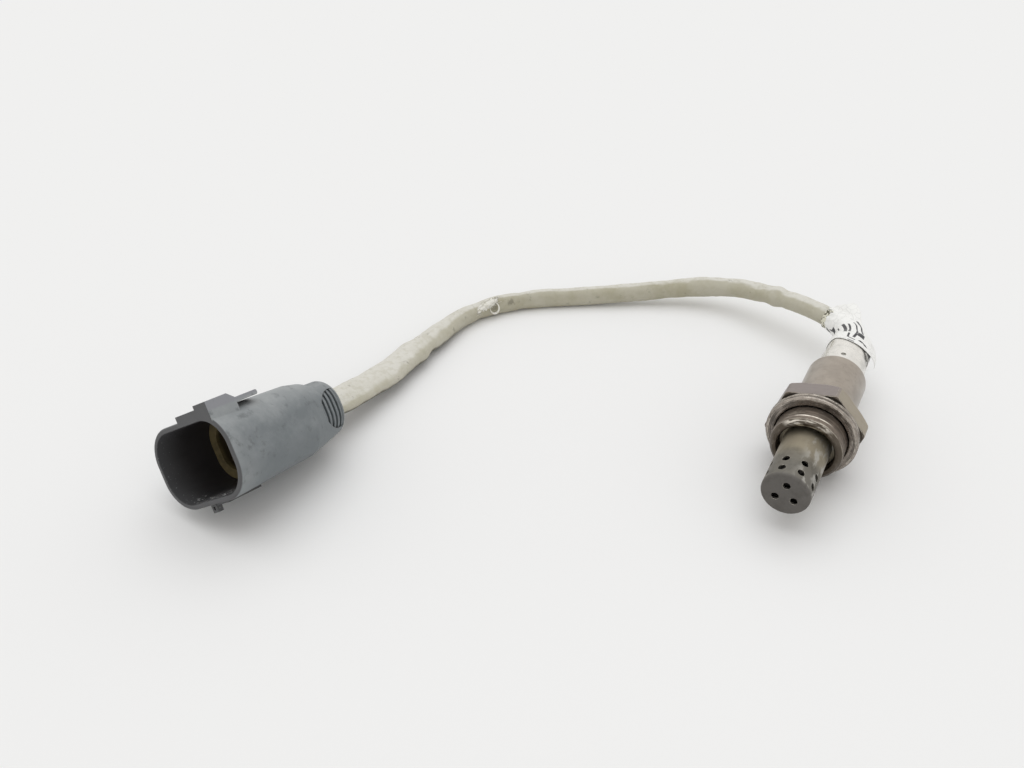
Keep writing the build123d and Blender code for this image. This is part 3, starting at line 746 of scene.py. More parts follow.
def shell_finish(s):
    """Browned shell, flats grey and painted lighter on one side, rim grimy with painted dark reflection and
    a painted highlight on top, painted shade in the recess and at the hexagon's front.
    """
    zones = (
        (dark_streaks, shade(s.shell, 0.45), 0.05),
        (rubbed_streaks, s.streak, -0.08),
        (hex_flats, s.flats, 0.0),
        (hex_lit_flats, s.flats_lit, 0.0),
        (hex_front_shade, shade(s.shell, 0.4), 0.1),
        (rim_grime_and_shade, s.rim_grime_and_shade, -0.15),
        (rim_highlight, s.rim_highlight, -0.05),
        (shell_recess_shade, s.recess_shade, 0.2),
    )
    return worn_metal("shell_browned", s.shell, shade(s.shell, 0.6), s.bright, 0.40, 0.25 * MM, zones)


def thread_finish(s):
    """Thread with a painted highlight on top and painted shade elsewhere."""
    zones = ((thread_shaded_sides, shade(s.shell, 0.75), 0.12),)
    return worn_metal("thread_lit_top", s.thread, s.shell, s.bright, 0.28, 0.1 * MM, zones)


def gasket_finish(s):
    """Crushed gasket, streaked, with painted shade at its seat against the hexagon."""
    zones = (
        (dark_streaks, shade(s.gasket, 0.18), 0.1),
        (rubbed_streaks, s.gasket_streak, -0.05),
        (gasket_seat_shade, shade(s.gasket, 0.05), 0.2),
    )
    return worn_metal("gasket_crushed", s.gasket, shade(s.gasket, 0.7), s.bright, 0.24, 0.4 * MM, zones)


def cover_finish(s):
    """Brown cover with a rubbed end."""
    zones = ((cover_end, s.cover_end, -0.08),)
    stain = shade(s.cover, 0.86)
    return worn_metal("cover_brown", s.cover, stain, s.bright, 0.40, 0.3 * MM, zones, blotch=180.0, coat=0.8)


def sleeve_finish(s):
    """Bright sleeve with a line of painted shade at its step."""
    zones = ((sleeve_step_shade, shade(s.sleeve, 0.4), 0.1),)
    return worn_metal("sleeve_bright", s.sleeve, shade(s.sleeve, 0.88), s.sleeve_edge, 0.26, 0.2 * MM, zones)


METAL_FINISHES = {
    "outer_protection_tube": tube_finish,
    "shell_body": shell_finish,
    "gasket_ring": gasket_finish,
    "upper_cover": cover_finish,
    "rear_sleeve": sleeve_finish,
}


def paint(node, material):
    """Gives a carried-over node its finish."""
    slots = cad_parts[node].material_slots
    if not slots:
        raise RuntimeError(f"{node} has no material slot")
    for slot in slots:
        slot.material = material


def new_object(name, bm, material):
    """Object from a finished bmesh."""
    mesh = bpy.data.meshes.new(name)
    bm.to_mesh(mesh)
    bm.free()
    mesh.materials.append(material)
    piece = bpy.data.objects.new(name, mesh)
    bpy.context.scene.collection.objects.link(piece)
    return piece


def new_piece(name, bm, material, smooth=True):
    """Piece that rides on the sensor."""
    piece = new_object(name, bm, material)
    piece.data.polygons.foreach_set("use_smooth", [smooth] * len(piece.data.polygons))
    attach(piece, ROOT)
    return piece


def cable_points():
    """The cable's control points, the last two on the connector's axis."""
    axis = connector_axes()[2]
    exit_point = CONNECTOR_PLACE + axis * HOUSING_LENGTH
    return [Vector(p) * MM for p in CABLE_ROUTE] + [exit_point + axis * CABLE_LAST_RUN, exit_point]


def cable_line():
    """Points along the smooth line that the route's points control."""
    curve = bpy.data.curves.new("cable_line", "CURVE")
    curve.dimensions = "3D"
    spline = curve.splines.new("NURBS")
    points = cable_points()
    spline.points.add(len(points) - 1)
    for control, place in zip(spline.points, points):
        control.co = (*place, 1.0)
    spline.order_u = 3
    spline.use_endpoint_u = True
    spline.resolution_u = CABLE_STEPS
    holder = bpy.data.objects.new("cable_line", curve)
    bpy.context.scene.collection.objects.link(holder)
    seen = holder.evaluated_get(bpy.context.evaluated_depsgraph_get())
    mesh = bpy.data.meshes.new_from_object(seen)
    line = [vertex.co.copy() for vertex in mesh.vertices]
    bpy.data.objects.remove(holder)
    bpy.data.curves.remove(curve)
    bpy.data.meshes.remove(mesh)
    return line


def soft_step(value, low, high):
    """Rises softly from 0 at low to 1 at high, or falls where low is the larger."""
    share = min(1.0, max(0.0, (value - low) / (high - low)))
    return share * share * (3.0 - 2.0 * share)


def line_frames(line):
    """For each point its distance along the line and a frame: left, up, ahead."""
    frames = []
    distance = 0.0
    for index, point in enumerate(line):
        before = line[max(index - 1, 0)]
        distance += (point - before).length
        ahead = (line[min(index + 1, len(line) - 1)] - before).normalized()
        left = UP.cross(ahead).normalized()
        matrix = Matrix((left, ahead.cross(left), ahead)).transposed().to_4x4()
        frames.append((distance, Matrix.Translation(point) @ matrix))
    return frames


def frame_at(frames, along):
    """Frame at a distance along the line, which runs straight on before its start."""
    if along <= 0.0:
        return frames[0][1] @ Matrix.Translation((0.0, 0.0, along))
    index = min(bisect.bisect_right(frames, along, key=lambda item: item[0]), len(frames) - 1)
    (low, before), (high, after) = frames[index - 1], frames[index]
    return before.lerp(after, min(1.0, (along - low) / (high - low)))


def swelling(way, along, kind):
    """Noise round and along the sleeve."""
    often, length, start = kind
    return noise.noise(way * often + Vector((start, 0.0, along / length)))


def cable_section(settings, along, angle):
    """Half width and half height of the worn sleeve at a place along and round it."""
    way = Vector((math.cos(angle), math.sin(angle), 0.0))
    radius = settings.diameter / 2
    radius += settings.lump * swelling(way, along, LUMPS)
    radius += settings.wrinkle * swelling(way, along, WRINKLES)
    twist = along / FOLD_TWIST
    radius += settings.fold * (math.cos(2.0 * angle + twist) + 0.5 * math.cos(3.0 * angle - twist))
    for at, depth, width in CABLE_KINKS:
        ring = math.exp(-(((along / MM - at) / width) ** 2))
        radius -= depth * MM * ring * (0.75 + 0.5 * noise.noise(way * 1.5 + Vector((at, 0.0, 0.0))))
    return radius * (1.0 + FLAT_WIDER * soft_step(along, FLAT_START, FLAT_FULL)), radius


def cable_rings(settings, frames):
    """Round tube extruded ring by ring: its bmesh, its rings and the edges of its open ends."""
    bm = bmesh.new()
    radius = settings.diameter / 2
    first = bmesh.ops.create_circle(bm, segments=CABLE_SIDES, radius=radius, matrix=frames[0][1])
    rings = [first["verts"]]
    edges = list(bm.edges)
    first_edges = edges
    for (_, before), (_, here) in zip(frames, frames[1:]):
        grown = bmesh.ops.extrude_edge_only(bm, edges=edges)["geom"]
        ring = [item for item in grown if isinstance(item, bmesh.types.BMVert)]
        known = set(ring)
        lines = [item for item in grown if isinstance(item, bmesh.types.BMEdge)]
        edges = [line for line in lines if known.issuperset(line.verts)]
        bmesh.ops.transform(bm, matrix=here @ before.inverted(), verts=ring)
        rings.append(ring)
    return bm, rings, first_edges + edges


def cable_mesh(settings, line):
    """The cable's tube, shaped, with round and along coordinates and closed ends."""
    frames = line_frames(line)
    bm, rings, open_edges = cable_rings(settings, frames)
    chart = {}
    for ring, (along, matrix) in zip(rings, frames):
        back = matrix.inverted()
        for vertex in ring:
            local = back @ vertex.co
            angle = math.atan2(local.y, local.x)
            half_width, half_height = cable_section(settings, along, angle)
            chart[vertex] = (angle / math.tau % 1.0, along / (math.pi * settings.diameter))
            place = matrix @ Vector((half_width * math.cos(angle), half_height * math.sin(angle), 0.0))
            place.z = max(place.z, BENCH_Z)
            vertex.co = place
    sheet = bm.loops.layers.uv.new(CABLE_UV)
    for face in bm.faces:
        turns = [chart[loop.vert][0] for loop in face.loops]
        seam = max(turns) - min(turns) > 0.5
        for loop in face.loops:
            turn, reach = chart[loop.vert]
            loop[sheet].uv = (turn + 1.0 if seam and turn < 0.5 else turn, reach)
    bmesh.ops.holes_fill(bm, edges=open_edges, sides=0)
    bmesh.ops.recalc_face_normals(bm, faces=bm.faces)
    return bm


def sleeve_soil_and_shade(g, place, along):
    """How soiled the sleeve is, with painted shade away from its lit side: darkest there and in soiled
    patches, less towards the connector.
    """
    lit_facing = g.plus(g.facing(LIT_CABLE_SIDE), g.wobble(place, 130.0, 0.5, detail=3.0))
    soiled = patches(g, place, scale=85.0, low=0.40, high=0.66)
    dirt = g.plus(g.times(g.step(lit_facing, 0.72, 0.46), 0.70), g.times(soiled, 0.32))
    return g.math("MULTIPLY", dirt, g.blend(g.step(along, *CLEANER_FROM), 1.0, 0.68), clamp=True)


def sleeve_spot(g, place, chart, girth, spot):
    """One ragged spot on the sleeve."""
    turn, at, half = spot
    away = g.vectors("DISTANCE", chart, (turn, at / girth, 0.0))["Value"]
    return g.step(g.plus(away, g.wobble(place, 900.0, 0.12)), half / girth, 0.4 * half / girth)


def woven_sleeve(settings):
    """Soiled braid of the cable, pale on top as painted light, with painted shade below and under it near
    the connector.
    """
    material, g, shader = new_material("woven_sleeve")
    place = g.place()
    chart = g.chart(CABLE_UV)
    along = g.parts(chart)[1]
    soiled = settings.soiled
    weave = g.group(braid(), vector=chart, yarns=float(settings.yarns))["Height"]
    # dirt holds real soil and the painted shade away from the cable's lit side
    dirt = sleeve_soil_and_shade(g, place, along)
    colour = g.mix(dirt, settings.clean, soiled)
    mottled = patches(g, place, scale=560.0, low=0.46, high=0.66)
    colour = g.over(colour, soiled, mottled, share=0.30)
    speckled = patches(g, place, scale=420.0, low=0.60, high=0.74)
    colour = g.over(colour, shade(soiled, 0.45), speckled, share=0.55)
    for spot in CABLE_SPOTS:
        mask = sleeve_spot(g, place, chart, math.pi * settings.diameter, spot)
        colour = g.over(colour, shade(soiled, 0.4), mask, share=0.6)
    # Painted shade, with some grime, under the cable near the connector
    shade_and_grime_below = g.times(g.step(g.facing(-UP), 0.0, 0.45), g.step(along, *SHADE_AND_GRIME_FROM))
    colour = g.over(colour, shade(soiled, 0.2), shade_and_grime_below, share=0.85)
    colour = g.over(colour, shade(soiled, 0.6), g.step(weave, 0.1, -0.5), share=0.35)
    height = g.plus(weave, g.times(g.noise(place, 900.0, detail=5.0), 1.5))
    join_shader(g, shader, colour, g.blend(dirt, 0.62, 0.8), g.bump(height, 0.5, 0.12 * MM))
    return material


def frayed_yarn(settings):
    """Pale fibres where the sleeve is torn."""
    material, g, shader = new_material("frayed_yarn")
    fibres = g.noise(g.stretched(g.place(), (1800.0, 900.0, 2600.0)), 1.0, detail=5.0)
    colour = g.mix(g.step(fibres, 0.52, 0.70), settings.frayed, settings.soiled)
    join_shader(g, shader, colour, 0.8, g.bump(fibres, 0.6, 0.1 * MM))
    return material


def unit_grid(bm, faces):
    """A flat grid's vertices with their shares across and up it."""
    grid = bmesh.ops.create_grid(bm, x_segments=faces[0], y_segments=faces[1], size=0.5)["verts"]
    return [(vertex, vertex.co.x + 0.5, vertex.co.y + 0.5) for vertex in grid]


def tear_turn(share):
    """Middle of the tear round the cable at a share of its length."""
    return TEAR_TURN_START + (TEAR_TURN_END - TEAR_TURN_START) * share


def tear_flap(bm, on_cable):
    """Ragged slanting flap, curled up near its start."""
    for vertex, u, v in unit_grid(bm, FLAP_FACES):
        torn = noise.noise(Vector((v * 17.0, u * 3.0, 8.0)))
        ragged = noise.noise(Vector((u * 15.0, v * 2.0, 2.0)))
        uneven = noise.noise(Vector((u * 7.0, v * 4.0, 4.0)))
        along = TEAR_START + (TEAR_END - TEAR_START) * (u + 0.14 * torn)
        half = TEAR_WIDTH / 2 * math.sin(math.pi * (0.14 + 0.74 * u)) * (1.0 + 0.5 * ragged)
        curl = math.exp(-(((u - 0.22) / 0.17) ** 2) - ((v - 0.5) / 0.32) ** 2)
        lift = FLAP_CLEARANCE + FLAP_CURL * curl + FLAP_UNEVEN * uneven
        vertex.co = on_cable(along, tear_turn(u) + half * (2.0 * v - 1.0), lift)
    bmesh.ops.solidify(bm, geom=list(bm.faces), thickness=FLAP_THICKNESS)


def tear_loop(bm, on_cable, girth):
    """Loop of yarn below the flap, thinner at both ends."""
    grid = unit_grid(bm, LOOP_FACES)
    for vertex, u, v in grid:
        way = LOOP_ANGLES[0] + (LOOP_ANGLES[1] - LOOP_ANGLES[0]) * u
        swell = math.sin(math.pi * u)
        yarn = LOOP_YARN * (0.3 + 0.7 * swell)
        reach = LOOP_R + yarn * math.cos(math.tau * v)
        lift = yarn * (0.6 + math.sin(math.tau * v)) + LOOP_RISE * swell
        turn = LOOP_TURN + reach * math.sin(way) / girth
        vertex.co = on_cable(LOOP_AT - reach * math.cos(way), turn, lift)
    bmesh.ops.remove_doubles(bm, verts=[item[0] for item in grid], dist=0.001 * MM)


def tear_fibres(bm, on_cable):
    """Loose fibres across the tear."""
    draw = random.Random(7)
    for _ in range(FIBRES):
        start = draw.uniform(TEAR_START, TEAR_END)
        middle = tear_turn((start - TEAR_START) / (TEAR_END - TEAR_START))
        turn = middle + TEAR_WIDTH * draw.uniform(-0.5, 0.5)
        slope = draw.uniform(-FIBRE_SLOPE, FIBRE_SLOPE)
        length = draw.uniform(*FIBRE_LENGTHS) * MM
        lift = draw.uniform(*FIBRE_LIFTS) * MM
        fibre = bmesh.ops.create_cone(
            bm, cap_ends=True, segments=5, radius1=FIBRE_R, radius2=FIBRE_TIP_R, depth=1.0
        )["verts"]
        for vertex in fibre:
            share = vertex.co.z + 0.5
            spot = on_cable(start + length * (share - 0.5), turn + slope * share, lift)
            vertex.co = spot + Vector((vertex.co.x, vertex.co.y, vertex.co.x))


def tear_mesh(settings, line):
    """Torn place of the sleeve: flap, loop and loose fibres, bent over the cable."""
    frames = line_frames(line)

    def on_cable(along, turn, lift):
        angle = turn * math.tau
        half_width, half_height = cable_section(settings, along, angle)
        spot = Vector(((half_width + lift) * math.cos(angle), (half_height + lift) * math.sin(angle), 0.0))
        return frame_at(frames, along) @ spot

    bm = bmesh.new()
    tear_flap(bm, on_cable)
    tear_loop(bm, on_cable, math.pi * settings.diameter)
    tear_fibres(bm, on_cable)
    bmesh.ops.recalc_face_normals(bm, faces=bm.faces)
    return bm


def crease(u, v):
    """Crisp folds of a crumpled film, from 0 to 1."""
    total = 0.0
    for across, up, start in LABEL_CREASES:
        share = (u * across + v * up + start) % 1.0
        total += abs(2.0 * share - 1.0)
    return total / len(LABEL_CREASES)


def wrap_radius(along):
    """Radius of the label's wrap at millimetres from the cable's start."""
    for (low, before), (high, after) in zip(LABEL_WRAP, LABEL_WRAP[1:]):
        if along <= high:
            break
    return (before + (after - before) * soft_step(along, low, high)) * MM


def label_point(settings, frames, u, v):
    """Place of the film at a share of its turns and of its length."""
    turn = LABEL_FREE_END - 360.0 * LABEL_TURNS * (1.0 - u)
    seen = (turn + 90.0) % 360.0 - 90.0
    fold = max(0.0, 1.0 - abs(seen - LABEL_FOLD_AT) / LABEL_FOLD_HALF)
    front = LABEL_FRONT + LABEL_FRONT_SHORT * max(soft_step(seen, *side) for side in LABEL_SIDES)
    front += LABEL_FRONT_RAGGED * noise.noise(Vector((u * 14.0, 9.0, 0.0)))
    rear = LABEL_REAR - LABEL_REAR_SHORT * fold
    rear += LABEL_REAR_RAGGED * noise.noise(Vector((u * 30.0, 3.0, 0.0)))
    along = front + (rear - front) * v
    crumple = settings.crumple * (0.25 + 1.1 * soft_step(along, *LABEL_LOOSE))
    radius = wrap_radius(along) + LABEL_OUTER_LIFT * u
    radius += crumple * (crease(u * 2.2, v) - LABEL_CREASE_MIDDLE)
    radius += LABEL_FOLD_LIFT * fold * soft_step(along, *LABEL_FOLD_REACH)
    radius += LABEL_FLAP_LIFT * soft_step(u, *LABEL_FLAP_TURN) * soft_step(along, *LABEL_FLAP_REACH)
    angle = math.radians(turn)
    return frame_at(frames, along * MM) @ Vector((radius * math.cos(angle), radius * math.sin(angle), 0.0))


def label_mesh(settings, frames):
    """Film round the sleeve's end and the cable's start, crumpled, with a loose flap and a raised fold."""
    bm = bmesh.new()
    chart = {vertex: (u, v) for vertex, u, v in unit_grid(bm, LABEL_FACES)}
    for vertex, (u, v) in chart.items():
        vertex.co = label_point(settings, frames, u, v)
    sheet = bm.loops.layers.uv.new(LABEL_UV)
    for face in bm.faces:
        for loop in face.loops:
            loop[sheet].uv = chart[loop.vert]
    bmesh.ops.recalc_face_normals(bm, faces=bm.faces)
    bmesh.ops.solidify(bm, geom=list(bm.faces), thickness=settings.thickness)
    return bm


def label_ink(g, place, chart):
    """Mask of the print, rubbed off in specks."""
    ink = 0.0
    for bar in LABEL_BARS:
        mask = g.group(printed_bar(), vector=chart, **dict(zip(BAR_SIZES, bar)))["Mask"]
        ink = g.math("MAXIMUM", ink, mask)
    return g.times(ink, g.step(g.noise(place, 1400.0, detail=5.0), 0.24, 0.36))


def label_film(settings):
    """White film with generic dark bars, painted grey shade in its creases and under its loose flap, and a
    frayed end.
    """
    material, g, shader = new_material("label_film_printed")
    place = g.place()
    chart = g.chart(LABEL_UV)
    turned, length = g.parts(chart)[:2]
    grey = patches(g, place, scale=260.0, low=0.5, high=0.75)
    colour = g.over(settings.paper, shade(settings.paper, 0.72), grey, share=0.5)
    # Painted shade in the film's finest creases
    folds = g.add("ShaderNodeTexVoronoi", {"Vector": place, "Scale": 520.0}, feature="DISTANCE_TO_EDGE")
    colour = g.over(colour, settings.crease, g.step(folds.outputs["Distance"], 0.05, 0.0), share=0.22)
    frayed = g.step(g.plus(length, g.times(g.noise(place, 900.0), 0.11)), 0.955, 0.985)
    frayed = g.times(frayed, g.step(turned, 0.76, 0.70))
    specks = g.step(g.noise(place, 1600.0, detail=2.0), 0.44, 0.54)
    colour = g.over(colour, g.mix(specks, settings.frayed_dark, settings.frayed_pale), frayed)
    colour = g.over(colour, settings.ink, label_ink(g, place, chart))
    # Painted shade on the inner side of the loose flap
    outward = g.dot(g.normal(), g.stretched(place, (1.0, 0.0, 1.0)))
    flap = g.times(g.step(length, 0.45, 0.30), g.step(turned, 0.80, 0.90))
    colour = g.over(colour, settings.under_flap_shade, g.times(g.step(outward, *INWARD), flap))
    normal = g.bump(g.noise(place, 1200.0), 0.25, 0.1 * MM)
    join_shader(g, shader, colour, g.blend(grey, 0.38, 0.55), normal)
    return material


def thread_mesh():
    """Worn first turns of the thread, a low ridge that fades at both ends."""
    bm = bmesh.new()
    inner = THREAD_R - THREAD_SUNK
    rise = THREAD_PITCH * THREAD_TURNS
    corners = ((-THREAD_HALF_BASE, 0.0), (0.0, THREAD_CREST + THREAD_SUNK), (THREAD_HALF_BASE, 0.0))
    profile = [bm.verts.new((0.0, THREAD_START + along, inner + proud)) for along, proud in corners]
    bmesh.ops.spin(
        bm, geom=profile + [bm.edges.new(pair) for pair in zip(profile, profile[1:])],
        cent=(0.0, 0.0, 0.0), axis=(0.0, 1.0, 0.0), dvec=(0.0, rise / THREAD_STEPS, 0.0),
        angle=math.tau * THREAD_TURNS, steps=THREAD_STEPS, use_merge=False,
    )
    for vertex in bm.verts:
        share = min(1.0, max(0.0, (vertex.co.y - THREAD_START) / rise))
        fade = min(1.0, share / THREAD_FADES[0], (1.0 - share) / THREAD_FADES[1])
        flat = Vector((vertex.co.x, 0.0, vertex.co.z))
        ridge = flat.normalized() * (inner + max(0.0, flat.length - inner) * fade)
        vertex.co = Vector((ridge.x, vertex.co.y, ridge.z))
    bmesh.ops.recalc_face_normals(bm, faces=bm.faces)
    return bm


def housing_outside(g, place, own, settings, cloud):
    """Faded walls: hazier towards the rail and the mouth, with a greyer rail and patches of dirt."""
    near_mouth = g.times(g.step(own["Along"], *MOUTH_HAZE), 0.45)
    hazy = g.math("MAXIMUM", g.step(own["Rail"], *UPPER_HAZE), near_mouth)
    dusty = g.group(dust(), vector=place, scale=160.0)["Mask"]
    colour = g.over(settings.outside, settings.haze, cloud, share=0.22)
    colour = g.over(colour, settings.haze, g.times(hazy, g.blend(cloud, 0.55, 1.0)))
    colour = g.over(colour, settings.haze, dusty, share=0.35)
    colour = g.over(colour, settings.rail, g.step(own["Rail"], *RAIL_FOOT), share=0.9)
    dirt = patches(g, place, scale=380.0, low=0.54, high=0.70)
    return g.over(colour, shade(settings.outside, 0.5), dirt, share=0.5)


def housing_socket(g, place, own, settings, colour):
    """Socket behind a grey lip, its walls darkened as painted shade and lighter near the mouth where light
    reaches, with pale crumbs on its lower wall and sparse specks.
    """
    lip = g.times(g.step(own["Forward"], *LIP_FACING), g.step(own["Along"], *LIP_DEPTH))
    colour = g.over(colour, settings.lip, lip)
    # Painted shade on the socket's walls, lightened near the mouth
    hollow = g.times(g.step(own["Outward"], *INWARD), g.step(own["Along"], *SOCKET_END))
    colour = g.over(colour, settings.inside, hollow)
    front = g.times(hollow, g.step(own["Along"], *SOCKET_LIT))
    colour = g.over(colour, settings.lip, front, share=0.85)
    low_wall = g.times(g.step(own["Rail"], *CRUMB_WALL), g.band(own["Across"], *CRUMB_ACROSS))
    crumbs = g.step(g.noise(place, 1250.0, detail=2.0), 0.605, 0.635)
    crumbs = g.times(crumbs, hollow, low_wall, g.band(own["Along"], *CRUMB_ALONG))
    colour = g.over(colour, settings.crumb, crumbs)
    specks = g.times(g.step(g.noise(place, 1700.0, detail=2.0), 0.68, 0.71), front)
    return g.over(colour, settings.haze, specks, share=0.7)


def housing_plastic(settings):
    """Faded housing with rubbed edges, near-black painted shade on the keeper below and in the socket."""
    material, g, shader = new_material("housing_faded")
    place = g.place()
    own = g.group(connector_frame())
    cloud = patches(g, place, scale=120.0, low=0.38, high=0.72)
    colour = housing_outside(g, place, own, settings, cloud)
    rubbed = g.group(worn_edges(), vector=place, radius=0.35 * MM, scale=600.0)
    colour = g.over(colour, settings.haze, rubbed["Mask"], share=0.35)
    # Painted shade on the keeper below
    colour = g.over(colour, settings.inside, g.step(own["Rail"], *KEEPER_SHADE_DROP), share=0.8)
    colour = housing_socket(g, place, own, settings, colour)
    normal = g.bump(g.noise(place, 1300.0, detail=5.0), 0.35, 0.08 * MM, rubbed["Normal"])
    join_shader(g, shader, colour, g.blend(cloud, 0.45, 0.62), normal)
    return material


def carrier_plastic(settings):
    """Tan insert with painted shade on its floor."""
    material, g, shader = new_material("carrier_tan")
    place = g.place()
    stained = patches(g, place, scale=420.0, low=0.4, high=0.7)
    colour = g.mix(stained, settings.carrier, shade(settings.carrier, 0.6))
    floor_shade = g.step(g.group(connector_frame())["Along"], *CARRIER_SHADE_FLOOR)
    colour = g.over(colour, settings.carrier_floor_shade, floor_shade)
    normal = g.bump(g.noise(place, 1500.0), 0.2, 0.1 * MM)
    join_shader(g, shader, colour, g.blend(stained, 0.5, 0.65), normal)
    return material


class SENSOR_OT_stage(bpy.types.Operator):
    """Make the pale bench, the soft light and the camera"""

    bl_idname = "sensor.stage"
    bl_label = "Stage"

    def execute(self, context):
        settings = context.scene.sensor_stage
        context.scene.view_settings.view_transform = "Standard"
        self.make_bench(settings)
        self.make_sky(context.scene, settings)
        self.make_lamp(context.scene, settings)
        self.make_camera(context.scene)
        return {"FINISHED"}

    def make_bench(self, settings):
        bm = bmesh.new()
        height = Matrix.Translation((0.0, 0.0, BENCH_Z))
        bmesh.ops.create_grid(bm, x_segments=1, y_segments=1, size=BENCH_SIDE / 2, matrix=height)
        material, g, shader = new_material("bench_white")
        g.feed(shader.inputs["Base Color"], settings.bench)
        shader.inputs["Roughness"].default_value = BENCH_ROUGHNESS
        shader.inputs["Specular IOR Level"].default_value = 0.0
        bench = new_object("bench", bm, material)

    def make_sky(self, scene, settings):
        scene.world = bpy.data.worlds.new("studio")
        scene.world.use_nodes = True
        g = Graph(scene.world.node_tree)
        ray = g.add("ShaderNodeLightPath").outputs
        mirrored = g.math("MAXIMUM", ray["Is Glossy Ray"], ray["Is Transmission Ray"])
        seen = g.math("MAXIMUM", ray["Is Camera Ray"], mirrored)
        shown = g.mix(ray["Is Camera Ray"], settings.sky_colour, settings.backdrop)
        sky = scene.world.node_tree.nodes["Background"]
        g.feed(sky.inputs["Color"], shown)
        g.feed(sky.inputs["Strength"], g.blend(seen, settings.sky, 1.0))

    def make_lamp(self, scene, settings):
        data = bpy.data.lights.new("window", "SUN")
        data.energy = settings.lamp
        data.color = settings.lamp_colour
        data.angle = settings.lamp_size
        lamp = bpy.data.objects.new("window", data)
        scene.collection.objects.link(lamp)
        lamp.rotation_euler = LAMP_WAY.to_track_quat("-Z", "Y").to_euler()

    def make_camera(self, scene):
        data = bpy.data.cameras.new("camera")
        data.lens = CAMERA_LENS
        data.sensor_width = CAMERA_SENSOR
        data.sensor_fit = "HORIZONTAL"
        data.clip_start = CAMERA_NEAR
        camera = bpy.data.objects.new("camera", data)
        scene.collection.objects.link(camera)
        camera.location = CAMERA_PLACE
        camera.rotation_euler = CAMERA_FORWARD.to_track_quat("-Z", "Y").to_euler()
        scene.camera = camera


class SENSOR_OT_cable(bpy.types.Operator):
    """Make the woven cable and its torn place"""

    bl_idname = "sensor.cable"
    bl_label = "Cable"

    def execute(self, context):
        settings = context.scene.sensor_cable
        line = cable_line()
        cable = new_piece("cable", cable_mesh(settings, line), woven_sleeve(settings))
        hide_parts("cable_sleeve")
        tear = new_piece("torn_sleeve", tear_mesh(settings, line), frayed_yarn(settings))
        tuple(line[0])
        [tuple(point) for point in line]
        return {"FINISHED"}


class SENSOR_OT_label(bpy.types.Operator):
    """Make the creased label"""

    bl_idname = "sensor.label"
    bl_label = "Label"

    def execute(self, context):
        settings = context.scene.sensor_label
        film = label_mesh(settings, line_frames(cable_line()))
        label = new_piece("label", film, label_film(settings), smooth=False)
        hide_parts("identification_label")
        return {"FINISHED"}


class SENSOR_OT_metal(bpy.types.Operator):
    """Finish the sensor's metal and make the thread"""

    bl_idname = "sensor.metal"
    bl_label = "Sensor metal"

    def execute(self, context):
        settings = context.scene.sensor_metal
        for node, finish in METAL_FINISHES.items():
            paint(node, finish(settings))
        new_piece("thread", thread_mesh(), thread_finish(settings))
        return {"FINISHED"}


class SENSOR_OT_connector(bpy.types.Operator):
    """Finish the connector"""

    bl_idname = "sensor.connector"
    bl_label = "Connector"

    def execute(self, context):
        settings = context.scene.sensor_connector
        paint("connector_housing", housing_plastic(settings))
        paint("terminal_carrier", carrier_plastic(settings))
        # The pins' colours are darkened as painted shade inside the socket
        paint("terminal_pins", plain_finish("pin_dull_shaded", settings.pin, settings.pin_dark, 0.6, 0.8))
        return {"FINISHED"}


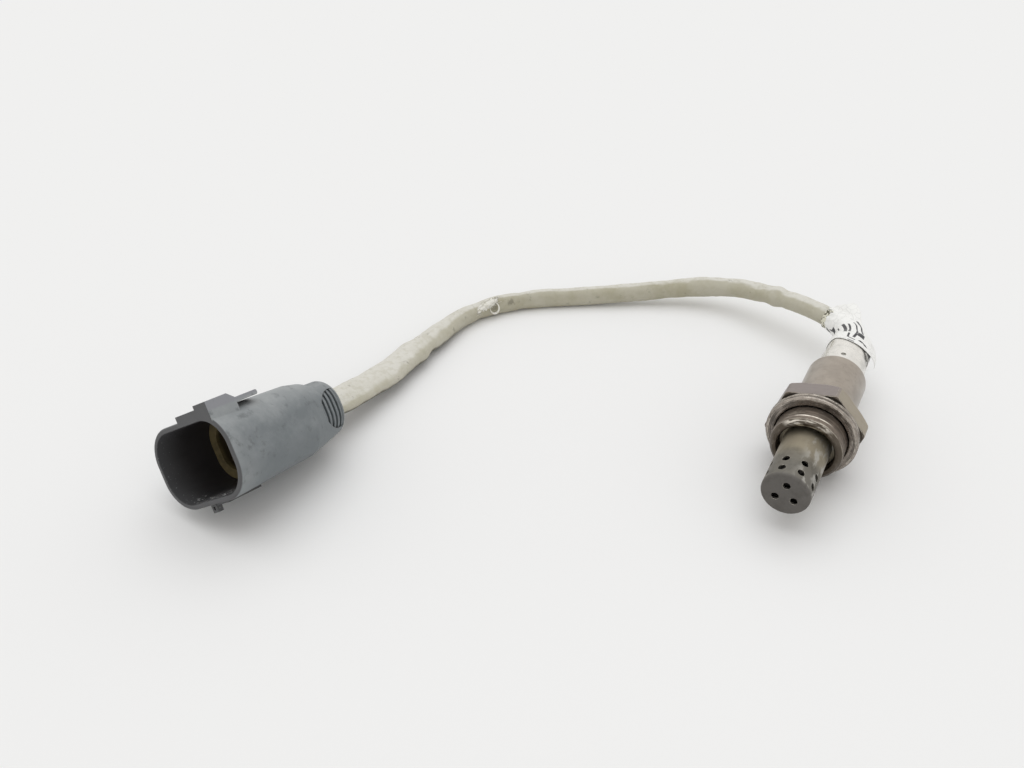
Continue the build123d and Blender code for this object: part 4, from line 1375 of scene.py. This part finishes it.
# Pieces out of sight: two colours, roughness and how metallic
INNER_FINISHES = {
    "inner_protection_tube": ((0.060, 0.056, 0.050), (0.030, 0.028, 0.025), 0.6, 0.6),
    "seat_washer": ((0.30, 0.27, 0.23), (0.20, 0.17, 0.14), 0.45, 0.9),
    "sensing_element": ((0.62, 0.60, 0.54), (0.45, 0.42, 0.36), 0.6, 0.0),
    "heater_rod": ((0.70, 0.69, 0.66), (0.55, 0.53, 0.48), 0.55, 0.0),
    "talc_packing": ((0.55, 0.54, 0.50), (0.44, 0.42, 0.38), 0.9, 0.0),
    "ceramic_insulator": ((0.78, 0.77, 0.73), (0.65, 0.63, 0.58), 0.45, 0.0),
    "clamp_ring": ((0.34, 0.31, 0.27), (0.22, 0.19, 0.16), 0.42, 0.9),
    "vent_filter": ((0.46, 0.45, 0.42), (0.34, 0.33, 0.30), 0.9, 0.0),
    "contact_holder": ((0.76, 0.75, 0.72), (0.62, 0.60, 0.56), 0.5, 0.0),
    "contact_springs": ((0.52, 0.50, 0.46), (0.36, 0.33, 0.28), 0.35, 0.95),
    "rubber_grommet": ((0.035, 0.034, 0.033), (0.060, 0.056, 0.050), 0.7, 0.0),
    "sensor_leads": ((0.62, 0.61, 0.58), (0.48, 0.46, 0.42), 0.5, 0.0),
    "rear_seal": ((0.11, 0.055, 0.035), (0.07, 0.035, 0.022), 0.7, 0.0),
    "connector_leads": ((0.60, 0.59, 0.56), (0.46, 0.44, 0.40), 0.5, 0.0),
}


class SENSOR_OT_inner(bpy.types.Operator):
    """Finish the pieces inside the sensor and the connector"""

    bl_idname = "sensor.inner"
    bl_label = "Inner pieces"

    def execute(self, context):
        for node, finish in INNER_FINISHES.items():
            paint(node, plain_finish(f"{node}_finish", *finish))
        return {"FINISHED"}


class SENSOR_PT_dressing(bpy.types.Panel):
    """Lists the steps and their settings"""

    bl_idname = "SENSOR_PT_dressing"
    bl_label = "Oxygen sensor"
    bl_space_type = "VIEW_3D"
    bl_region_type = "UI"
    bl_category = "Sensor"

    def draw(self, context):
        for operator, group in STEPS:
            self.layout.operator(operator.bl_idname)
            if group:
                settings = getattr(context.scene, group)
                for name in settings.__annotations__:
                    self.layout.prop(settings, name)


SETTINGS = {
    "sensor_stage": SensorStageSettings,
    "sensor_cable": SensorCableSettings,
    "sensor_label": SensorLabelSettings,
    "sensor_metal": SensorMetalSettings,
    "sensor_connector": SensorConnectorSettings,
}
STEPS = (
    (SENSOR_OT_stage, "sensor_stage"),
    (SENSOR_OT_cable, "sensor_cable"),
    (SENSOR_OT_label, "sensor_label"),
    (SENSOR_OT_metal, "sensor_metal"),
    (SENSOR_OT_connector, "sensor_connector"),
    (SENSOR_OT_inner, None),
)
CLASSES = tuple(SETTINGS.values()) + tuple(step[0] for step in STEPS) + (SENSOR_PT_dressing,)


def register():
    for item in CLASSES:
        bpy.utils.register_class(item)
    for name, group in SETTINGS.items():
        setattr(bpy.types.Scene, name, PointerProperty(type=group))


def unregister():
    for name in SETTINGS:
        delattr(bpy.types.Scene, name)
    for item in reversed(CLASSES):
        bpy.utils.unregister_class(item)


def main():
    register()
    bpy.ops.sensor.stage()
    bpy.ops.sensor.cable()
    bpy.ops.sensor.label()
    bpy.ops.sensor.metal()
    bpy.ops.sensor.connector()
    bpy.ops.sensor.inner()


if __name__ == "__main__":
    main()
